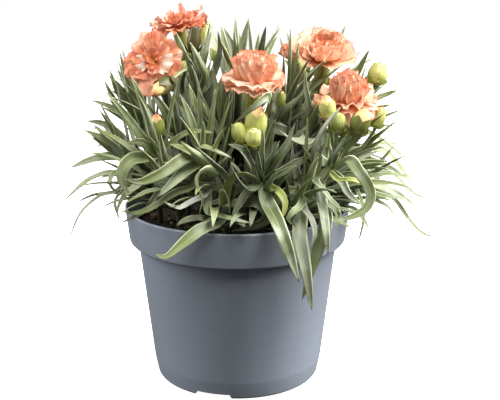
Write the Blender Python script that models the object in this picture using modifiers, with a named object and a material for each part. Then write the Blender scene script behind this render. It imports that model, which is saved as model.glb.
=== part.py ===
"""A dwarf carnation (Dianthus) in its plastic growing pot, as a Blender script.

Metres, +Z up. The origin is the centre of the pot's underside, and -Y is the side it is viewed from.
The plant was laid out on a photograph: places are given as a pixel of that 500 x 400 picture and a
depth Y, and seen() turns the two into a point. Everything else is a real size.
"""

import math
import random

import bmesh
import bpy
from mathutils import Quaternion, Vector

# The pot: a growing pot of nominal size 13 cm
POT_HEIGHT = 0.102
RIM_RADIUS = 0.065
COLLAR_HEIGHT = 0.0205
COLLAR_FOOT_RADIUS = 0.0627
SHOULDER_RADIUS = 0.0578
CREASE_HEIGHT = 0.010
CREASE_RADIUS = 0.0496
FOOT_RADIUS = 0.0478
WALL = 0.0012
RAISED_FLOOR = 0.0026
CENTRE_PAD_RADIUS = 0.020
POT_STEPS = 40
NOTCHES = 3
NOTCH_FIRST_ANGLE = math.radians(-107.5)
NOTCH_WIDTH = 0.024
DRAIN_HOLES = 6
DRAIN_RADIUS = 0.0035
DRAIN_CIRCLE = 0.032

# The growing medium that fills it
SOIL_EDGE = 0.0925
SOIL_CROWN = 0.0955
GAP = 0.0003
PLANTING_DEPTH = 0.010

# The green cup under a flower
CALYX_LENGTH = 0.016
CALYX_RADIUS = 0.0046

# Stems and leaves
STEM_RADIUS = 0.0016
FLOWER_STEM_RADIUS = 0.0017
STALK_RADIUS = 0.0010
STEM_STEPS = 6
NECK = 0.003
SHOOT_POINT = 0.006
STEM_BOW = 0.36
REACH = 0.108
LEAF_LENGTH = 0.062
LEAF_WIDTH = 0.0056
LEAF_CLEARANCE = 0.0019
SAMPLE_STEP = 0.0014
CLASP = 0.012
ATTEMPTS = 35
KEEL_SHARE = 0.16
CHANNEL_SHARE = 0.22

# How a leaf that is placed by pixel finds room: moves in depth, tried in turn, and the way it faces
SHIFTS = (0, 0.002, -0.002, 0.004, -0.004, 0.006, -0.006, 0.009, -0.009, 0.012, -0.012, 0.015)
STEMWARD = 0.6
TOWARDS_VIEWER = Vector((0, -0.97, 0.26))

# The viewpoint that pixels are read from
VIEW_DISTANCE = 0.576
VIEW_HEIGHT = 0.2586
VIEW_PITCH = math.radians(15.11)
VIEW_YAW = math.radians(0.725)
VIEW_FOCAL = 1027.6
VIEW_CENTRE = (250.0, 200.0)

GREEN = (0.16, 0.24, 0.09)
PALE_GREEN = (0.42, 0.50, 0.16)
SALMON = (0.85, 0.22, 0.10)
POT_GREY = (0.13, 0.15, 0.19)
PEAT = (0.035, 0.024, 0.017)


def seen(u, v, y):
    """The point at depth y that shows at pixel (u, v)."""
    sin_p, cos_p = math.sin(VIEW_PITCH), math.cos(VIEW_PITCH)
    sin_y, cos_y = math.sin(VIEW_YAW), math.cos(VIEW_YAW)
    ahead = Vector((sin_y * cos_p, cos_y * cos_p, -sin_p))
    right = Vector((cos_y, -sin_y, 0))
    up = Vector((sin_y * sin_p, cos_y * sin_p, cos_p))
    ray = ahead + right * ((u - VIEW_CENTRE[0]) / VIEW_FOCAL) + up * ((VIEW_CENTRE[1] - v) / VIEW_FOCAL)
    eye = Vector((0, -VIEW_DISTANCE, VIEW_HEIGHT))
    return eye + ray * ((y - eye.y) / ray.y)


# The plant's two sides from that viewpoint, as pixels from shoulder to rim. Only leaves that are placed
# one by one go past them.
LEFT_SIDE = ((114, 60), (62, 205))
RIGHT_SIDE = ((374, 46), (432, 225))

# Flowers: (name, corolla centre as pixel and depth, the way it faces, radius, height, root on the soil)
FLOWERS = [
    ("1", (177, 18, 0.012), (-0.25, 0.05, 0.95), 0.0145, 0.016, (-0.013, 0.013)),
    ("2", (152, 59, -0.026), (-0.30, -0.85, 0.42), 0.0160, 0.013, (-0.028, -0.012)),
    ("3", (253, 73, -0.030), (0.02, -0.16, 0.98), 0.0180, 0.021, (0.006, -0.013)),
    ("4", (324, 47, 0.014), (0.05, -0.22, 0.97), 0.0185, 0.019, (0.024, 0.010)),
    ("5", (347, 93, -0.026), (0.02, -0.35, 0.93), 0.0175, 0.023, (0.037, -0.016)),
    ("6", (289, 52, 0.032), (-0.45, -0.25, 0.85), 0.0075, 0.012, (0.013, 0.031)),
]

# Buds: (name, centre as pixel and depth, length, diameter, the way it points, carrying stem,
# and how far up that stem the stalk leaves it, 0 to 1)
BUDS = [
    ("1", (194, 39, -0.004), 0.0150, 0.0076, (0.10, 0.0, 1.0), "flower_stem_1", 0.62),
    ("2", (204, 34, 0.016), 0.0125, 0.0060, (0.15, 0.1, 1.0), "flower_stem_1", 0.50),
    ("3", (239, 132, -0.046), 0.0110, 0.0086, (-0.30, -0.15, 1.0), "flower_stem_3", 0.36),
    ("4", (254, 137, -0.056), 0.0100, 0.0094, (-0.10, -0.35, 1.0), "flower_stem_3", 0.25),
    ("5", (256, 121, -0.044), 0.0185, 0.0120, (0.12, -0.10, 1.0), "flower_stem_3", 0.36),
    ("6", (281, 98, -0.020), 0.0085, 0.0050, (0.15, -0.10, 1.0), "flower_stem_3", 0.50),
    ("7", (378, 73, 0.006), 0.0125, 0.0112, (0.25, 0.0, 1.0), "flower_stem_5", 0.60),
    ("8", (327, 106, -0.054), 0.0120, 0.0088, (-0.15, -0.20, 1.0), "flower_stem_5", 0.50),
    ("9", (338, 122, -0.054), 0.0105, 0.0086, (0.05, -0.10, 1.0), "flower_stem_5", 0.36),
    ("10", (361, 121, -0.055), 0.0150, 0.0104, (0.40, -0.10, 1.0), "flower_stem_5", 0.40),
    ("11", (379, 117, -0.020), 0.0125, 0.0076, (0.35, 0.0, 1.0), "flower_stem_5", 0.48),
    ("12", (157, 125, -0.034), 0.0125, 0.0084, (-0.05, -0.10, 1.0), "flower_stem_2", 0.42),
    ("13", (162, 87, -0.044), 0.0150, 0.0092, (-0.55, -0.60, -0.38), "flower_stem_2", 0.60),
    ("14", (215, 52, 0.034), 0.0100, 0.0062, (0.05, 0.0, 1.0), "flower_stem_1", 0.42),
    ("15", (198, 77, 0.024), 0.0110, 0.0074, (0.20, -0.10, 1.0), "flower_stem_1", 0.36),
]
# Leafy shoots: (name, crown as pixel and depth, root on the soil, leaf pairs, leaf length as a share,
# the way the first pair faces in degrees)
SHOOTS = [
    ("front", (262, 184, -0.050), (0.010, -0.036), 4, 1.0, 20),
    ("front_right", (325, 173, -0.042), (0.034, -0.032), 4, 1.0, 65),
    ("front_left", (205, 166, -0.046), (-0.012, -0.034), 5, 1.0, 10),
    ("left_front", (160, 160, -0.040), (-0.032, -0.028), 5, 1.0, 40),
    ("low_left", (226, 210, -0.052), (-0.006, -0.047), 2, 0.8, 80),
    ("low_right", (305, 194, -0.050), (0.026, -0.044), 2, 0.9, 30),
    ("middle", (224, 146, -0.030), (-0.006, -0.020), 5, 1.0, 15),
    ("middle_left", (178, 136, -0.022), (-0.019, -0.022), 5, 1.0, 75),
    ("left", (130, 160, -0.014), (-0.044, -0.012), 5, 1.0, 55),
    ("left_rear", (142, 124, 0.004), (-0.036, 0.006), 5, 1.0, 25),
    ("top_left", (200, 100, -0.004), (-0.015, -0.004), 4, 0.9, 45),
    ("top_middle", (236, 92, 0.000), (-0.002, 0.002), 5, 1.0, 22),
    ("top_right", (286, 104, 0.004), (0.013, 0.004), 4, 1.0, 60),
    ("right_middle", (312, 126, -0.020), (0.021, -0.018), 4, 0.95, 35),
    ("right", (352, 160, -0.012), (0.045, -0.002), 5, 1.0, 80),
    ("low_far_right", (350, 187, -0.020), (0.049, -0.018), 3, 1.0, 24),
    ("right_rear", (352, 110, 0.024), (0.036, 0.022), 5, 1.0, 50),
    ("rear_right", (310, 96, 0.052), (0.018, 0.044), 5, 1.0, 30),
    ("rear_middle", (252, 92, 0.048), (0.000, 0.026), 4, 1.0, 70),
    ("rear_left", (186, 100, 0.044), (-0.022, 0.032), 5, 1.0, 5),
    ("rear_low", (232, 116, 0.070), (-0.004, 0.049), 4, 1.0, 40),
]
# Leaves placed one by one: (shoot, width, [points from the stem to the tip, as pixel and depth])
PLACED_LEAVES = [
    ("front_left", 0.0070, [
        (216, 176, -0.056), (209, 171, -0.062), (201, 172, -0.067), (197, 180, -0.069),
        (199, 190, -0.069), (203, 200, -0.067), (199, 214, -0.065),
    ]),
    ("low_left", 0.0064, [
        (240, 203, -0.052), (256, 202, -0.056), (266, 210, -0.059), (266, 220, -0.059),
        (250, 227, -0.057), (232, 231, -0.055),
    ]),
    ("low_left", 0.0080, [
        (216, 224, -0.062), (200, 231, -0.068), (183, 244, -0.072), (166, 257, -0.073),
        (156, 254, -0.071),
    ]),
    ("low_left", 0.0064, [
        (232, 186, -0.056), (225, 173, -0.062), (214, 163, -0.066), (205, 155, -0.067),
        (195, 146, -0.066),
    ]),
    ("low_left", 0.0048, [(228, 186, -0.060), (233, 177, -0.066), (245, 173, -0.069), (260, 180, -0.070)]),
    ("low_left", 0.0052, [
        (230, 194, -0.056), (222, 188, -0.061), (210, 185, -0.063), (193, 183, -0.063),
    ]),
    ("low_right", 0.0084, [
        (300, 218, -0.062), (299, 238, -0.071), (305, 268, -0.073), (312, 310, -0.072),
    ]),
    ("low_right", 0.0056, [(302, 208, -0.062), (311, 220, -0.069), (314, 236, -0.071), (310, 250, -0.071)]),
    ("low_right", 0.0078, [
        (322, 206, -0.054), (326, 226, -0.068), (316, 256, -0.071), (302, 300, -0.068),
    ]),
    ("low_right", 0.0056, [
        (314, 196, -0.050), (328, 203, -0.056), (338, 214, -0.062), (336, 228, -0.066),
    ]),
    ("low_right", 0.0052, [
        (292, 190, -0.052), (281, 196, -0.056), (272, 206, -0.058), (268, 222, -0.060),
    ]),
    ("low_right", 0.0046, [(300, 206, -0.066), (293, 212, -0.072), (288, 220, -0.073), (296, 226, -0.074)]),
    ("front_right", 0.0072, [
        (319, 190, -0.052), (323, 214, -0.064), (326, 236, -0.069), (328, 255, -0.068),
    ]),
    ("front_right", 0.0066, [
        (335, 168, -0.046), (349, 160, -0.051), (359, 172, -0.058), (370, 190, -0.062),
        (368, 206, -0.065), (354, 216, -0.068), (332, 222, -0.070),
    ]),
    ("front_right", 0.0068, [
        (313, 178, -0.054), (322, 190, -0.060), (332, 202, -0.064), (346, 213, -0.067),
    ]),
    ("front_right", 0.0056, [(330, 158, -0.054), (338, 148, -0.062), (347, 134, -0.067)]),
    ("front_right", 0.0054, [(340, 180, -0.046), (348, 194, -0.052), (362, 205, -0.055)]),
    ("front_right", 0.0042, [(338, 180, -0.050), (352, 180, -0.053), (380, 188, -0.053)]),
    ("front_right", 0.0056, [(316, 166, -0.052), (309, 156, -0.057), (302, 145, -0.059)]),
    ("front", 0.0084, [(266, 200, -0.056), (277, 222, -0.068), (287, 248, -0.072), (299, 282, -0.071)]),
    ("front", 0.0046, [
        (270, 187, -0.056), (279, 192, -0.062), (285, 202, -0.066), (284, 212, -0.068), (280, 221, -0.069),
    ]),
    ("front", 0.0072, [
        (253, 176, -0.054), (246, 184, -0.056), (232, 196, -0.058), (216, 203, -0.059), (203, 204, -0.058),
    ]),
    ("front", 0.0050, [(282, 172, -0.055), (295, 163, -0.056), (310, 156, -0.056)]),
    ("front", 0.0040, [(276, 178, -0.060), (286, 170, -0.062), (297, 165, -0.062)]),
    ("front", 0.0042, [(268, 164, -0.054), (279, 144, -0.056)]),
    ("front", 0.0044, [(276, 160, -0.058), (288, 142, -0.060), (295, 123, -0.060)]),
    ("front", 0.0046, [(258, 162, -0.056), (262, 145, -0.058), (262, 128, -0.058)]),
    ("front", 0.0048, [(246, 194, -0.058), (238, 206, -0.063), (231, 220, -0.064)]),
    ("front", 0.0050, [(250, 164, -0.052), (243, 150, -0.054), (228, 144, -0.056)]),
    ("front", 0.0044, [(250, 190, -0.064), (238, 180, -0.072), (231, 165, -0.074)]),
    ("front_left", 0.0070, [
        (190, 157, -0.052), (178, 162, -0.058), (164, 172, -0.062), (150, 179, -0.064),
        (138, 182, -0.064), (125, 179, -0.062),
    ]),
    ("front_left", 0.0052, [(196, 156, -0.052), (186, 150, -0.055), (170, 144, -0.056)]),
    ("front_left", 0.0050, [
        (212, 168, -0.052), (206, 161, -0.058), (194, 153, -0.061), (180, 141, -0.061),
    ]),
    ("front_left", 0.0080, [
        (201, 152, -0.048), (203, 145, -0.053), (214, 149, -0.058), (232, 158, -0.061),
    ]),
    ("front_left", 0.0066, [(188, 170, -0.054), (176, 180, -0.059), (158, 197, -0.062)]),
    ("front_left", 0.0044, [
        (190, 188, -0.054), (178, 192, -0.060), (164, 200, -0.065), (150, 209, -0.067),
        (135, 213, -0.067), (120, 211, -0.066),
    ]),
    ("front_left", 0.0052, [
        (204, 196, -0.058), (192, 202, -0.064), (180, 208, -0.067), (172, 206, -0.068),
        (163, 201, -0.068),
    ]),
    ("front_left", 0.0048, [(208, 211, -0.057), (220, 216, -0.062), (236, 220, -0.064), (254, 224, -0.064)]),
    ("left_front", 0.0036, [
        (174, 141, -0.046), (186, 133, -0.050), (200, 131, -0.052), (214, 133, -0.052),
    ]),
    ("left_front", 0.0080, [
        (142, 158, -0.044), (131, 160, -0.047), (123, 170, -0.050), (122, 182, -0.051),
        (129, 193, -0.052),
    ]),
    ("left_front", 0.0046, [
        (160, 189, -0.048), (148, 192, -0.053), (135, 198, -0.057), (123, 205, -0.058),
    ]),
    ("left_front", 0.0036, [(156, 196, -0.050), (146, 210, -0.058), (134, 217, -0.062), (119, 224, -0.063)]),
    ("left_front", 0.0050, [(152, 150, -0.044), (142, 142, -0.048), (128, 142, -0.048)]),
    ("left_front", 0.0040, [(140, 184, -0.046), (126, 194, -0.053), (119, 205, -0.056), (117, 216, -0.056)]),
    ("middle", 0.0070, [(218, 134, -0.036), (211, 120, -0.040), (203, 103, -0.042)]),
    ("middle", 0.0060, [(206, 128, -0.036), (197, 112, -0.039), (189, 84, -0.040)]),
    ("middle", 0.0044, [(222, 120, -0.026), (218, 96, -0.026), (212, 66, -0.026)]),
    ("middle", 0.0042, [(212, 122, -0.030), (205, 110, -0.031), (198, 96, -0.032)]),
    ("middle", 0.0056, [
        (214, 152, -0.036), (204, 160, -0.042), (196, 172, -0.046), (194, 184, -0.047),
    ]),
    ("middle_left", 0.0054, [(168, 118, -0.028), (160, 104, -0.031), (147, 88, -0.032)]),
    ("middle_left", 0.0054, [(172, 112, -0.024), (167, 98, -0.026), (162, 79, -0.028)]),
    ("middle_left", 0.0042, [(180, 116, -0.014), (182, 104, -0.014), (187, 88, -0.014)]),
    ("left", 0.0056, [(118, 157, -0.014), (104, 157, -0.014), (88, 161, -0.012), (70, 168, -0.010)]),
    ("left", 0.0052, [(120, 174, -0.022), (104, 174, -0.022), (86, 182, -0.020), (62, 202, -0.018)]),
    ("left", 0.0030, [(118, 190, -0.030), (100, 196, -0.030), (80, 214, -0.030), (68, 243, -0.030)]),
    ("left", 0.0062, [(124, 168, -0.030), (114, 174, -0.034), (110, 184, -0.036), (118, 193, -0.037)]),
    ("left", 0.0034, [(124, 190, -0.038), (116, 198, -0.043), (116, 208, -0.045), (121, 223, -0.046)]),
    ("left", 0.0046, [(118, 148, -0.010), (102, 138, -0.008), (84, 130, -0.006)]),
    ("left", 0.0034, [(122, 148, -0.018), (110, 138, -0.018), (94, 127, -0.018)]),
    ("left", 0.0052, [(122, 138, -0.004), (104, 124, -0.002), (86, 121, 0.000)]),
    ("left_rear", 0.0040, [(124, 114, 0.002), (108, 106, 0.002), (91, 100, 0.002)]),
    ("left_rear", 0.0044, [(126, 104, 0.006), (116, 88, 0.008), (110, 70, 0.010)]),
    ("left_rear", 0.0060, [(134, 106, -0.002), (124, 96, -0.004), (112, 91, -0.006)]),
    ("left_rear", 0.0040, [(122, 112, 0.010), (112, 96, 0.012), (104, 80, 0.014)]),
    ("left_rear", 0.0044, [(140, 100, 0.012), (133, 84, 0.016), (123, 70, 0.018)]),
    ("top_left", 0.0050, [(212, 78, 0.002), (220, 52, 0.000), (218, 31, 0.000)]),
    ("top_left", 0.0052, [(200, 92, -0.006), (206, 76, -0.010), (200, 62, -0.012), (190, 42, -0.014)]),
    ("top_left", 0.0050, [(196, 112, -0.010), (190, 96, -0.018), (178, 66, -0.024)]),
    ("top_middle", 0.0048, [(238, 67, 0.001), (243, 42, 0.004), (249, 18, 0.006)]),
    ("top_middle", 0.0056, [(230, 72, -0.004), (225, 48, -0.004), (221, 26, -0.004)]),
    ("top_middle", 0.0050, [(234, 64, 0.008), (232, 46, 0.012), (224, 28, 0.014)]),
    ("top_right", 0.0062, [(296, 108, -0.006), (302, 96, -0.008), (312, 82, -0.008)]),
    ("top_right", 0.0064, [(270, 136, -0.012), (284, 112, -0.020), (308, 91, -0.024)]),
    ("right_middle", 0.0040, [(308, 104, -0.022), (305, 86, -0.022), (305, 69, -0.022)]),
    ("right_middle", 0.0082, [
        (308, 138, -0.036), (303, 143, -0.044), (292, 140, -0.048), (280, 131, -0.048),
    ]),
    ("right", 0.0076, [(370, 162, -0.012), (390, 170, -0.010), (408, 180, -0.008)]),
    ("right", 0.0066, [(368, 147, -0.004), (386, 153, 0.000), (399, 166, 0.002), (411, 182, 0.002)]),
    ("right", 0.0036, [(372, 176, -0.018), (390, 173, -0.018), (412, 192, -0.018), (428, 199, -0.018)]),
    ("right", 0.0036, [(370, 168, -0.020), (384, 158, -0.020), (394, 145, -0.020)]),
    ("low_far_right", 0.0070, [
        (362, 182, -0.022), (384, 188, -0.020), (398, 195, -0.018), (416, 206, -0.016),
    ]),
    ("low_far_right", 0.0034, [
        (375, 187, -0.026), (394, 199, -0.028), (410, 221, -0.030), (424, 234, -0.030),
        (439, 237, -0.030),
    ]),
    ("low_far_right", 0.0038, [(372, 193, -0.032), (390, 197, -0.034), (408, 198, -0.034)]),
    ("low_far_right", 0.0034, [(375, 200, -0.036), (388, 207, -0.038), (398, 222, -0.040)]),
    ("low_far_right", 0.0028, [(362, 204, -0.046), (363, 222, -0.052), (357, 246, -0.054)]),
    ("right_rear", 0.0036, [(370, 133, 0.012), (388, 145, 0.010), (409, 160, 0.008)]),
    ("right_rear", 0.0050, [(372, 100, 0.020), (386, 95, 0.020), (398, 90, 0.018)]),
    ("right_rear", 0.0040, [(372, 122, 0.016), (388, 115, 0.014), (401, 110, 0.012)]),
    ("right_rear", 0.0056, [(352, 84, 0.026), (360, 66, 0.024), (369, 50, 0.022)]),
    ("rear_right", 0.0040, [(298, 70, 0.050), (284, 52, 0.048), (280, 37, 0.046)]),
    ("rear_right", 0.0042, [(300, 66, 0.058), (291, 48, 0.056), (287, 32, 0.054)]),
    ("rear_middle", 0.0044, [(246, 66, 0.044), (241, 48, 0.042), (239, 32, 0.040)]),
    ("rear_middle", 0.0052, [(258, 66, 0.044), (262, 46, 0.040), (266, 26, 0.036)]),
    ("rear_left", 0.0054, [(200, 72, 0.040), (207, 48, 0.036), (213, 27, 0.034)]),
]


def bezier(a, b, c, d, count):
    """count + 1 points of a cubic Bezier curve."""
    points = []
    for i in range(count + 1):
        t = i / count
        s = 1 - t
        points.append(a * s**3 + b * (3 * s * s * t) + c * (3 * s * t * t) + d * t**3)
    return points


def smooth(points, count):
    """count + 1 points, evenly spaced, of the smooth curve through these."""
    ends = [points[0] * 2 - points[1], *points, points[-1] * 2 - points[-2]]
    fine = []
    for a, b, c, d in zip(ends, ends[1:], ends[2:], ends[3:]):
        for i in range(12):
            t = i / 12
            square = (a * 2 - b * 5 + c * 4 - d) * t**2
            cube = (b * 3 - a - c * 3 + d) * t**3
            fine.append((b * 2 + (c - a) * t + square + cube) * 0.5)
    fine.append(points[-1].copy())
    return evenly(fine, count)


def evenly(points, count):
    """count + 1 points spaced evenly along a line of points."""
    along = [0.0]
    for a, b in zip(points, points[1:]):
        along.append(along[-1] + (b - a).length)
    spaced, i = [], 0
    for k in range(count + 1):
        at = along[-1] * k / count
        while i < len(points) - 2 and along[i + 1] < at:
            i += 1
        span = along[i + 1] - along[i] or 1.0
        spaced.append(points[i].lerp(points[i + 1], (at - along[i]) / span))
    return spaced


def length_of(points):
    return sum((b - a).length for a, b in zip(points, points[1:]))


def nearest(points, place):
    """Index of the point nearest to place."""
    return min(range(len(points)), key=lambda i: (points[i] - place).length)


def direction(points, i):
    """Unit direction of a line of points at its i-th point."""
    return (points[min(i + 1, len(points) - 1)] - points[max(i - 1, 0)]).normalized()


def blade_width(s):
    """A leaf's width at s, from 0 at the stem to 1 at the tip, as a share of its full width."""
    return (0.62 + 0.38 * math.sin(min(1.0, s / 0.4) * math.pi / 2)) * max(0.0, 1 - s**3) ** 0.8


class Leaf:
    """A blade: its centreline, the way its upper face looks at each point, and its width."""

    def __init__(self, shoot, line, facing, width, twist=0.0):
        self.shoot, self.line, self.width = shoot, line, width
        self.faces = []
        face = facing
        for i in range(len(line)):
            ahead = direction(line, i)
            face = (face - ahead * face.dot(ahead)).normalized()
            turned = Quaternion(ahead, twist * i / (len(line) - 1)) @ face
            self.faces.append(turned)

    def section(self, i, share):
        """Centre, half-width vector and face of the blade at its i-th point."""
        face = self.faces[i]
        side = direction(self.line, i).cross(face)
        return self.line[i], side * (self.width / 2 * share), face

    def samples(self):
        """Points all over the blade: those by the stem, and those further out."""
        by_stem, outer = [], []
        last = len(self.line) - 1
        for i in range(last + 1):
            centre, half, _ = self.section(i, max(0.12, blade_width(i / last)))
            across = max(1, math.ceil(half.length / SAMPLE_STEP))
            found = by_stem if i * SAMPLE_STEP < CLASP else outer
            for k in range(-across, across + 1):
                found.append(centre + half * (k / across))
        return by_stem, outer


class Space:
    """What the plant's parts fill, as marked points, each with the part that owns it."""

    def __init__(self):
        self.cells = {}
        self.balls = []

    def key(self, p):
        return (int(p.x // LEAF_CLEARANCE), int(p.y // LEAF_CLEARANCE), int(p.z // LEAF_CLEARANCE))

    def mark(self, owner, points, reach=0.0):
        for p in points:
            self.cells.setdefault(self.key(p), []).append((owner, p.copy(), LEAF_CLEARANCE + reach))

    def ball(self, centre, radii, axis):
        """An egg-shaped part, such as a bud or a flower, as (centre, radius across, radius along, axis)."""
        self.balls.append((centre, radii[0] + LEAF_CLEARANCE, radii[1] + LEAF_CLEARANCE, axis.normalized()))

    def clear(self, owner, points):
        """True if none of these points comes near another owner's, a flower, the soil or the pot."""
        for p in points:
            r = math.hypot(p.x, p.y)
            if r < 0.0592 and p.z < SOIL_CROWN + 0.0015:
                return False
            if 0.0592 <= r < RIM_RADIUS + 0.0016 and p.z < POT_HEIGHT + 0.0014:
                return False
            for centre, across, along, axis in self.balls:
                offset = p - centre
                h = offset.dot(axis)
                if (h / along) ** 2 + (offset.length_squared - h * h) / across**2 < 1:
                    return False
            i, j, k = self.key(p)
            for a in (i - 1, i, i + 1):
                for b in (j - 1, j, j + 1):
                    for c in (k - 1, k, k + 1):
                        for other, q, reach in self.cells.get((a, b, c), ()):
                            if other != owner and (p - q).length < reach:
                                return False
        return True

    def takes(self, leaf):
        """True if there is room for this leaf, which then fills it."""
        by_stem, outer = leaf.samples()
        if not self.clear(leaf.shoot, by_stem[4:]) or not self.clear(leaf.shoot, outer):
            return False
        self.mark(leaf.shoot, by_stem)
        self.mark((leaf.shoot, leaf.line[-1].freeze()), outer)
        return True


def stem_line(root, top, arriving, count=STEM_STEPS):
    """A stem's centreline: planted upright, rising from its root on the soil and arriving at top."""
    ground = Vector((root[0], root[1], SOIL_CROWN + 0.001))
    neck = top - arriving * NECK
    reach = (neck - ground).length
    bow = reach * STEM_BOW
    curve = bezier(ground, ground + Vector((0, 0, bow)), neck - arriving * bow, neck, count)
    return [ground - Vector((0, 0, PLANTING_DEPTH + 0.001)), *curve, top]


def shoot_line(crown, root):
    """A leafy shoot's centreline, which goes on a little past its crown."""
    top = seen(*crown)
    outward = (top - Vector((root[0], root[1], SOIL_CROWN))).normalized()
    return stem_line(root, top + outward * SHOOT_POINT, outward)


def flower_base(flower):
    """(calyx base, corolla base, axis) of a flower."""
    _, centre, facing, radius, height, _ = flower
    axis = Vector(facing).normalized()
    corolla_base = seen(*centre) - axis * (height * 0.5)
    return corolla_base - axis * CALYX_LENGTH, corolla_base, axis


def grow():
    """The whole plant: stem lines by name, stalk lines by the stem that carries them, and leaves."""
    space = Space()
    stems, stalks, leaves = {}, {}, []
    for flower in FLOWERS:
        base, corolla_base, axis = flower_base(flower)
        name = "flower_stem_" + flower[0]
        stems[name] = stem_line(flower[5], base - axis * GAP, axis)
        middle = corolla_base + axis * (flower[4] * 0.5)
        space.ball(middle, (flower[3], flower[4] * 0.56), axis)
        space.ball(base + axis * CALYX_LENGTH / 2, (CALYX_RADIUS, CALYX_LENGTH * 0.6), axis)
    for name, crown, root, *_ in SHOOTS:
        stems["shoot_" + name] = shoot_line(crown, root)
    for name, centre, length, diameter, pointing, carrier, height in BUDS:
        axis = Vector(pointing).normalized()
        base = seen(*centre) - axis * (length / 2)
        line = stems[carrier]
        at = max(3, round(height * (len(line) - 1)))
        start = line[at]
        neck = base - axis * NECK
        bow = (neck - start).length * STEM_BOW
        stalk = bezier(start, start + direction(line, at) * bow, neck - axis * bow, neck, 3)
        stalk.append(base - axis * GAP)
        stalks.setdefault(carrier, []).append(stalk)
        space.ball(seen(*centre), (diameter / 2, length / 2 * 1.1), axis)
    for name, line in stems.items():
        space.mark(name, evenly(line, round(length_of(line) / SAMPLE_STEP)), STEM_RADIUS)
    for name, lines in stalks.items():
        for line in lines:
            space.mark(name, evenly(line, max(2, round(length_of(line) / SAMPLE_STEP))), STALK_RADIUS)
    place_leaves(space, stems, leaves)
    fill_leaves(space, stems, leaves)
    return stems, stalks, leaves


def place_leaves(space, stems, leaves):
    """The leaves placed one by one. Where two would touch, one moves along the line of sight."""
    for shoot, width, places in PLACED_LEAVES:
        name = "shoot_" + shoot
        stem = stems[name]
        for shift in SHIFTS:
            points = [
                seen(u, v, y + shift * min(1.0, 0.4 + 0.3 * i)) for i, (u, v, y) in enumerate(places)
            ]
            at = min(max(2, nearest(stem, points[0])), len(stem) - 2)
            path = [stem[at], *points]
            line = smooth(path, max(8, round(length_of(path) / SAMPLE_STEP)))
            ahead = direction(line, 0)
            facing = direction(stem, at) * STEMWARD + TOWARDS_VIEWER
            facing = facing - ahead * facing.dot(ahead)
            if facing.length < 0.2:
                facing = Vector((0, 0, 1)) - ahead * ahead.z
            leaf = Leaf(name, line, facing, width)
            if space.takes(leaf):
                leaves.append(leaf)
                break


def within(place):
    """True if a place shows between the plant's two sides."""
    eye = Vector((0, -VIEW_DISTANCE, VIEW_HEIGHT))
    sight = place - eye
    left, right = [(seen(*a, 0) - eye).cross(seen(*b, 0) - eye) for a, b in (LEFT_SIDE, RIGHT_SIDE)]
    return sight.dot(left) < 0 < sight.dot(right)


def fill_leaves(space, stems, leaves):
    """Opposite pairs up every shoot, each pair turned a quarter from the last, as room allows."""
    chance = random.Random(7)
    for name, _, _, pairs, share, turn in SHOOTS:
        owner = "shoot_" + name
        stem = stems[owner]
        for pair in range(pairs):
            age = 1 - pair / max(1, pairs - 1)
            at = round((0.25 + 0.73 * (1 - age)) * (len(stem) - 2))
            for opposite in (0, 180):
                about = math.radians(turn + 90 * pair + opposite)
                leaf = fill_leaf(space, owner, stem, at, age, about, share, chance)
                if leaf:
                    leaves.append(leaf)
    for flower in FLOWERS:
        owner = "flower_stem_" + flower[0]
        stem = stems[owner]
        for pair, at in enumerate((4, 6)):
            for opposite in (0, 180):
                about = math.radians(90 * pair + opposite + 30)
                leaf = fill_leaf(space, owner, stem, at, 0.45 - 0.25 * pair, about, 0.7, chance)
                if leaf:
                    leaves.append(leaf)


def fill_leaf(space, owner, stem, at, age, about, share, chance):
    """One leaf of a pair, from the stem's point at, or None if there is no room for it."""
    along = direction(stem, at)
    across = along.orthogonal().normalized()
    length = LEAF_LENGTH * share * (1.1 - 0.40 * (1 - age) ** 2) * chance.uniform(0.85, 1.1)
    width = LEAF_WIDTH * chance.uniform(0.8, 1.15) * (1 - 0.2 * (1 - age))
    spread = math.radians(14 + 42 * age)
    droop = (0.25 + 1.1 * age) * chance.uniform(0.7, 1.4)
    sway = chance.uniform(-0.5, 0.5)
    twist = chance.uniform(-0.6, 0.6)
    for attempt in range(ATTEMPTS):
        turn = about + (0, 0.3, -0.3, 0.6, -0.6)[attempt % 5]
        again = attempt // 5
        open_by = spread * (1 - 0.13 * again)
        droop *= 0.97
        size = length * (1 - 0.04 * again)
        outward = Quaternion(along, turn) @ across
        ahead = (along * math.cos(open_by) + outward * math.sin(open_by)).normalized()
        side = along.cross(outward)
        line = [stem[at].copy()]
        steps = max(8, round(size / SAMPLE_STEP))
        for i in range(steps):
            s = i / steps
            pull = Vector((0, 0, -droop * s)) + side * sway * (s - 0.4)
            ahead = (ahead + pull * (1.6 / steps)).normalized()
            line.append(line[-1] + ahead * (size / steps))
        facing = along - direction(line, 0) * along.dot(direction(line, 0))
        leaf = Leaf(owner, line, facing, width, twist)
        if line[-1].xy.length < REACH and within(line[-1]) and space.takes(leaf):
            return leaf
    return None


def finish_of(name, colour, roughness):
    """A plain material of this colour."""
    material = bpy.data.materials.new(name)
    material.use_nodes = True
    shader = material.node_tree.nodes["Principled BSDF"]
    shader.inputs["Base Color"].default_value = (*colour, 1)
    shader.inputs["Roughness"].default_value = roughness
    return material


def collection(name, hidden=False):
    made = bpy.data.collections.new(name)
    bpy.context.scene.collection.children.link(made)
    made.hide_render = hidden
    return made


def add_mesh(name, mesh, group, material=None, helper=False):
    """An object of this mesh, in this collection. A helper is only cut or joined with."""
    made = bpy.data.objects.new(name, mesh)
    group.objects.link(made)
    if material:
        mesh.materials.append(material)
    if helper:
        made.hide_render = True
        made.display_type = "WIRE"
    return made


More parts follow.
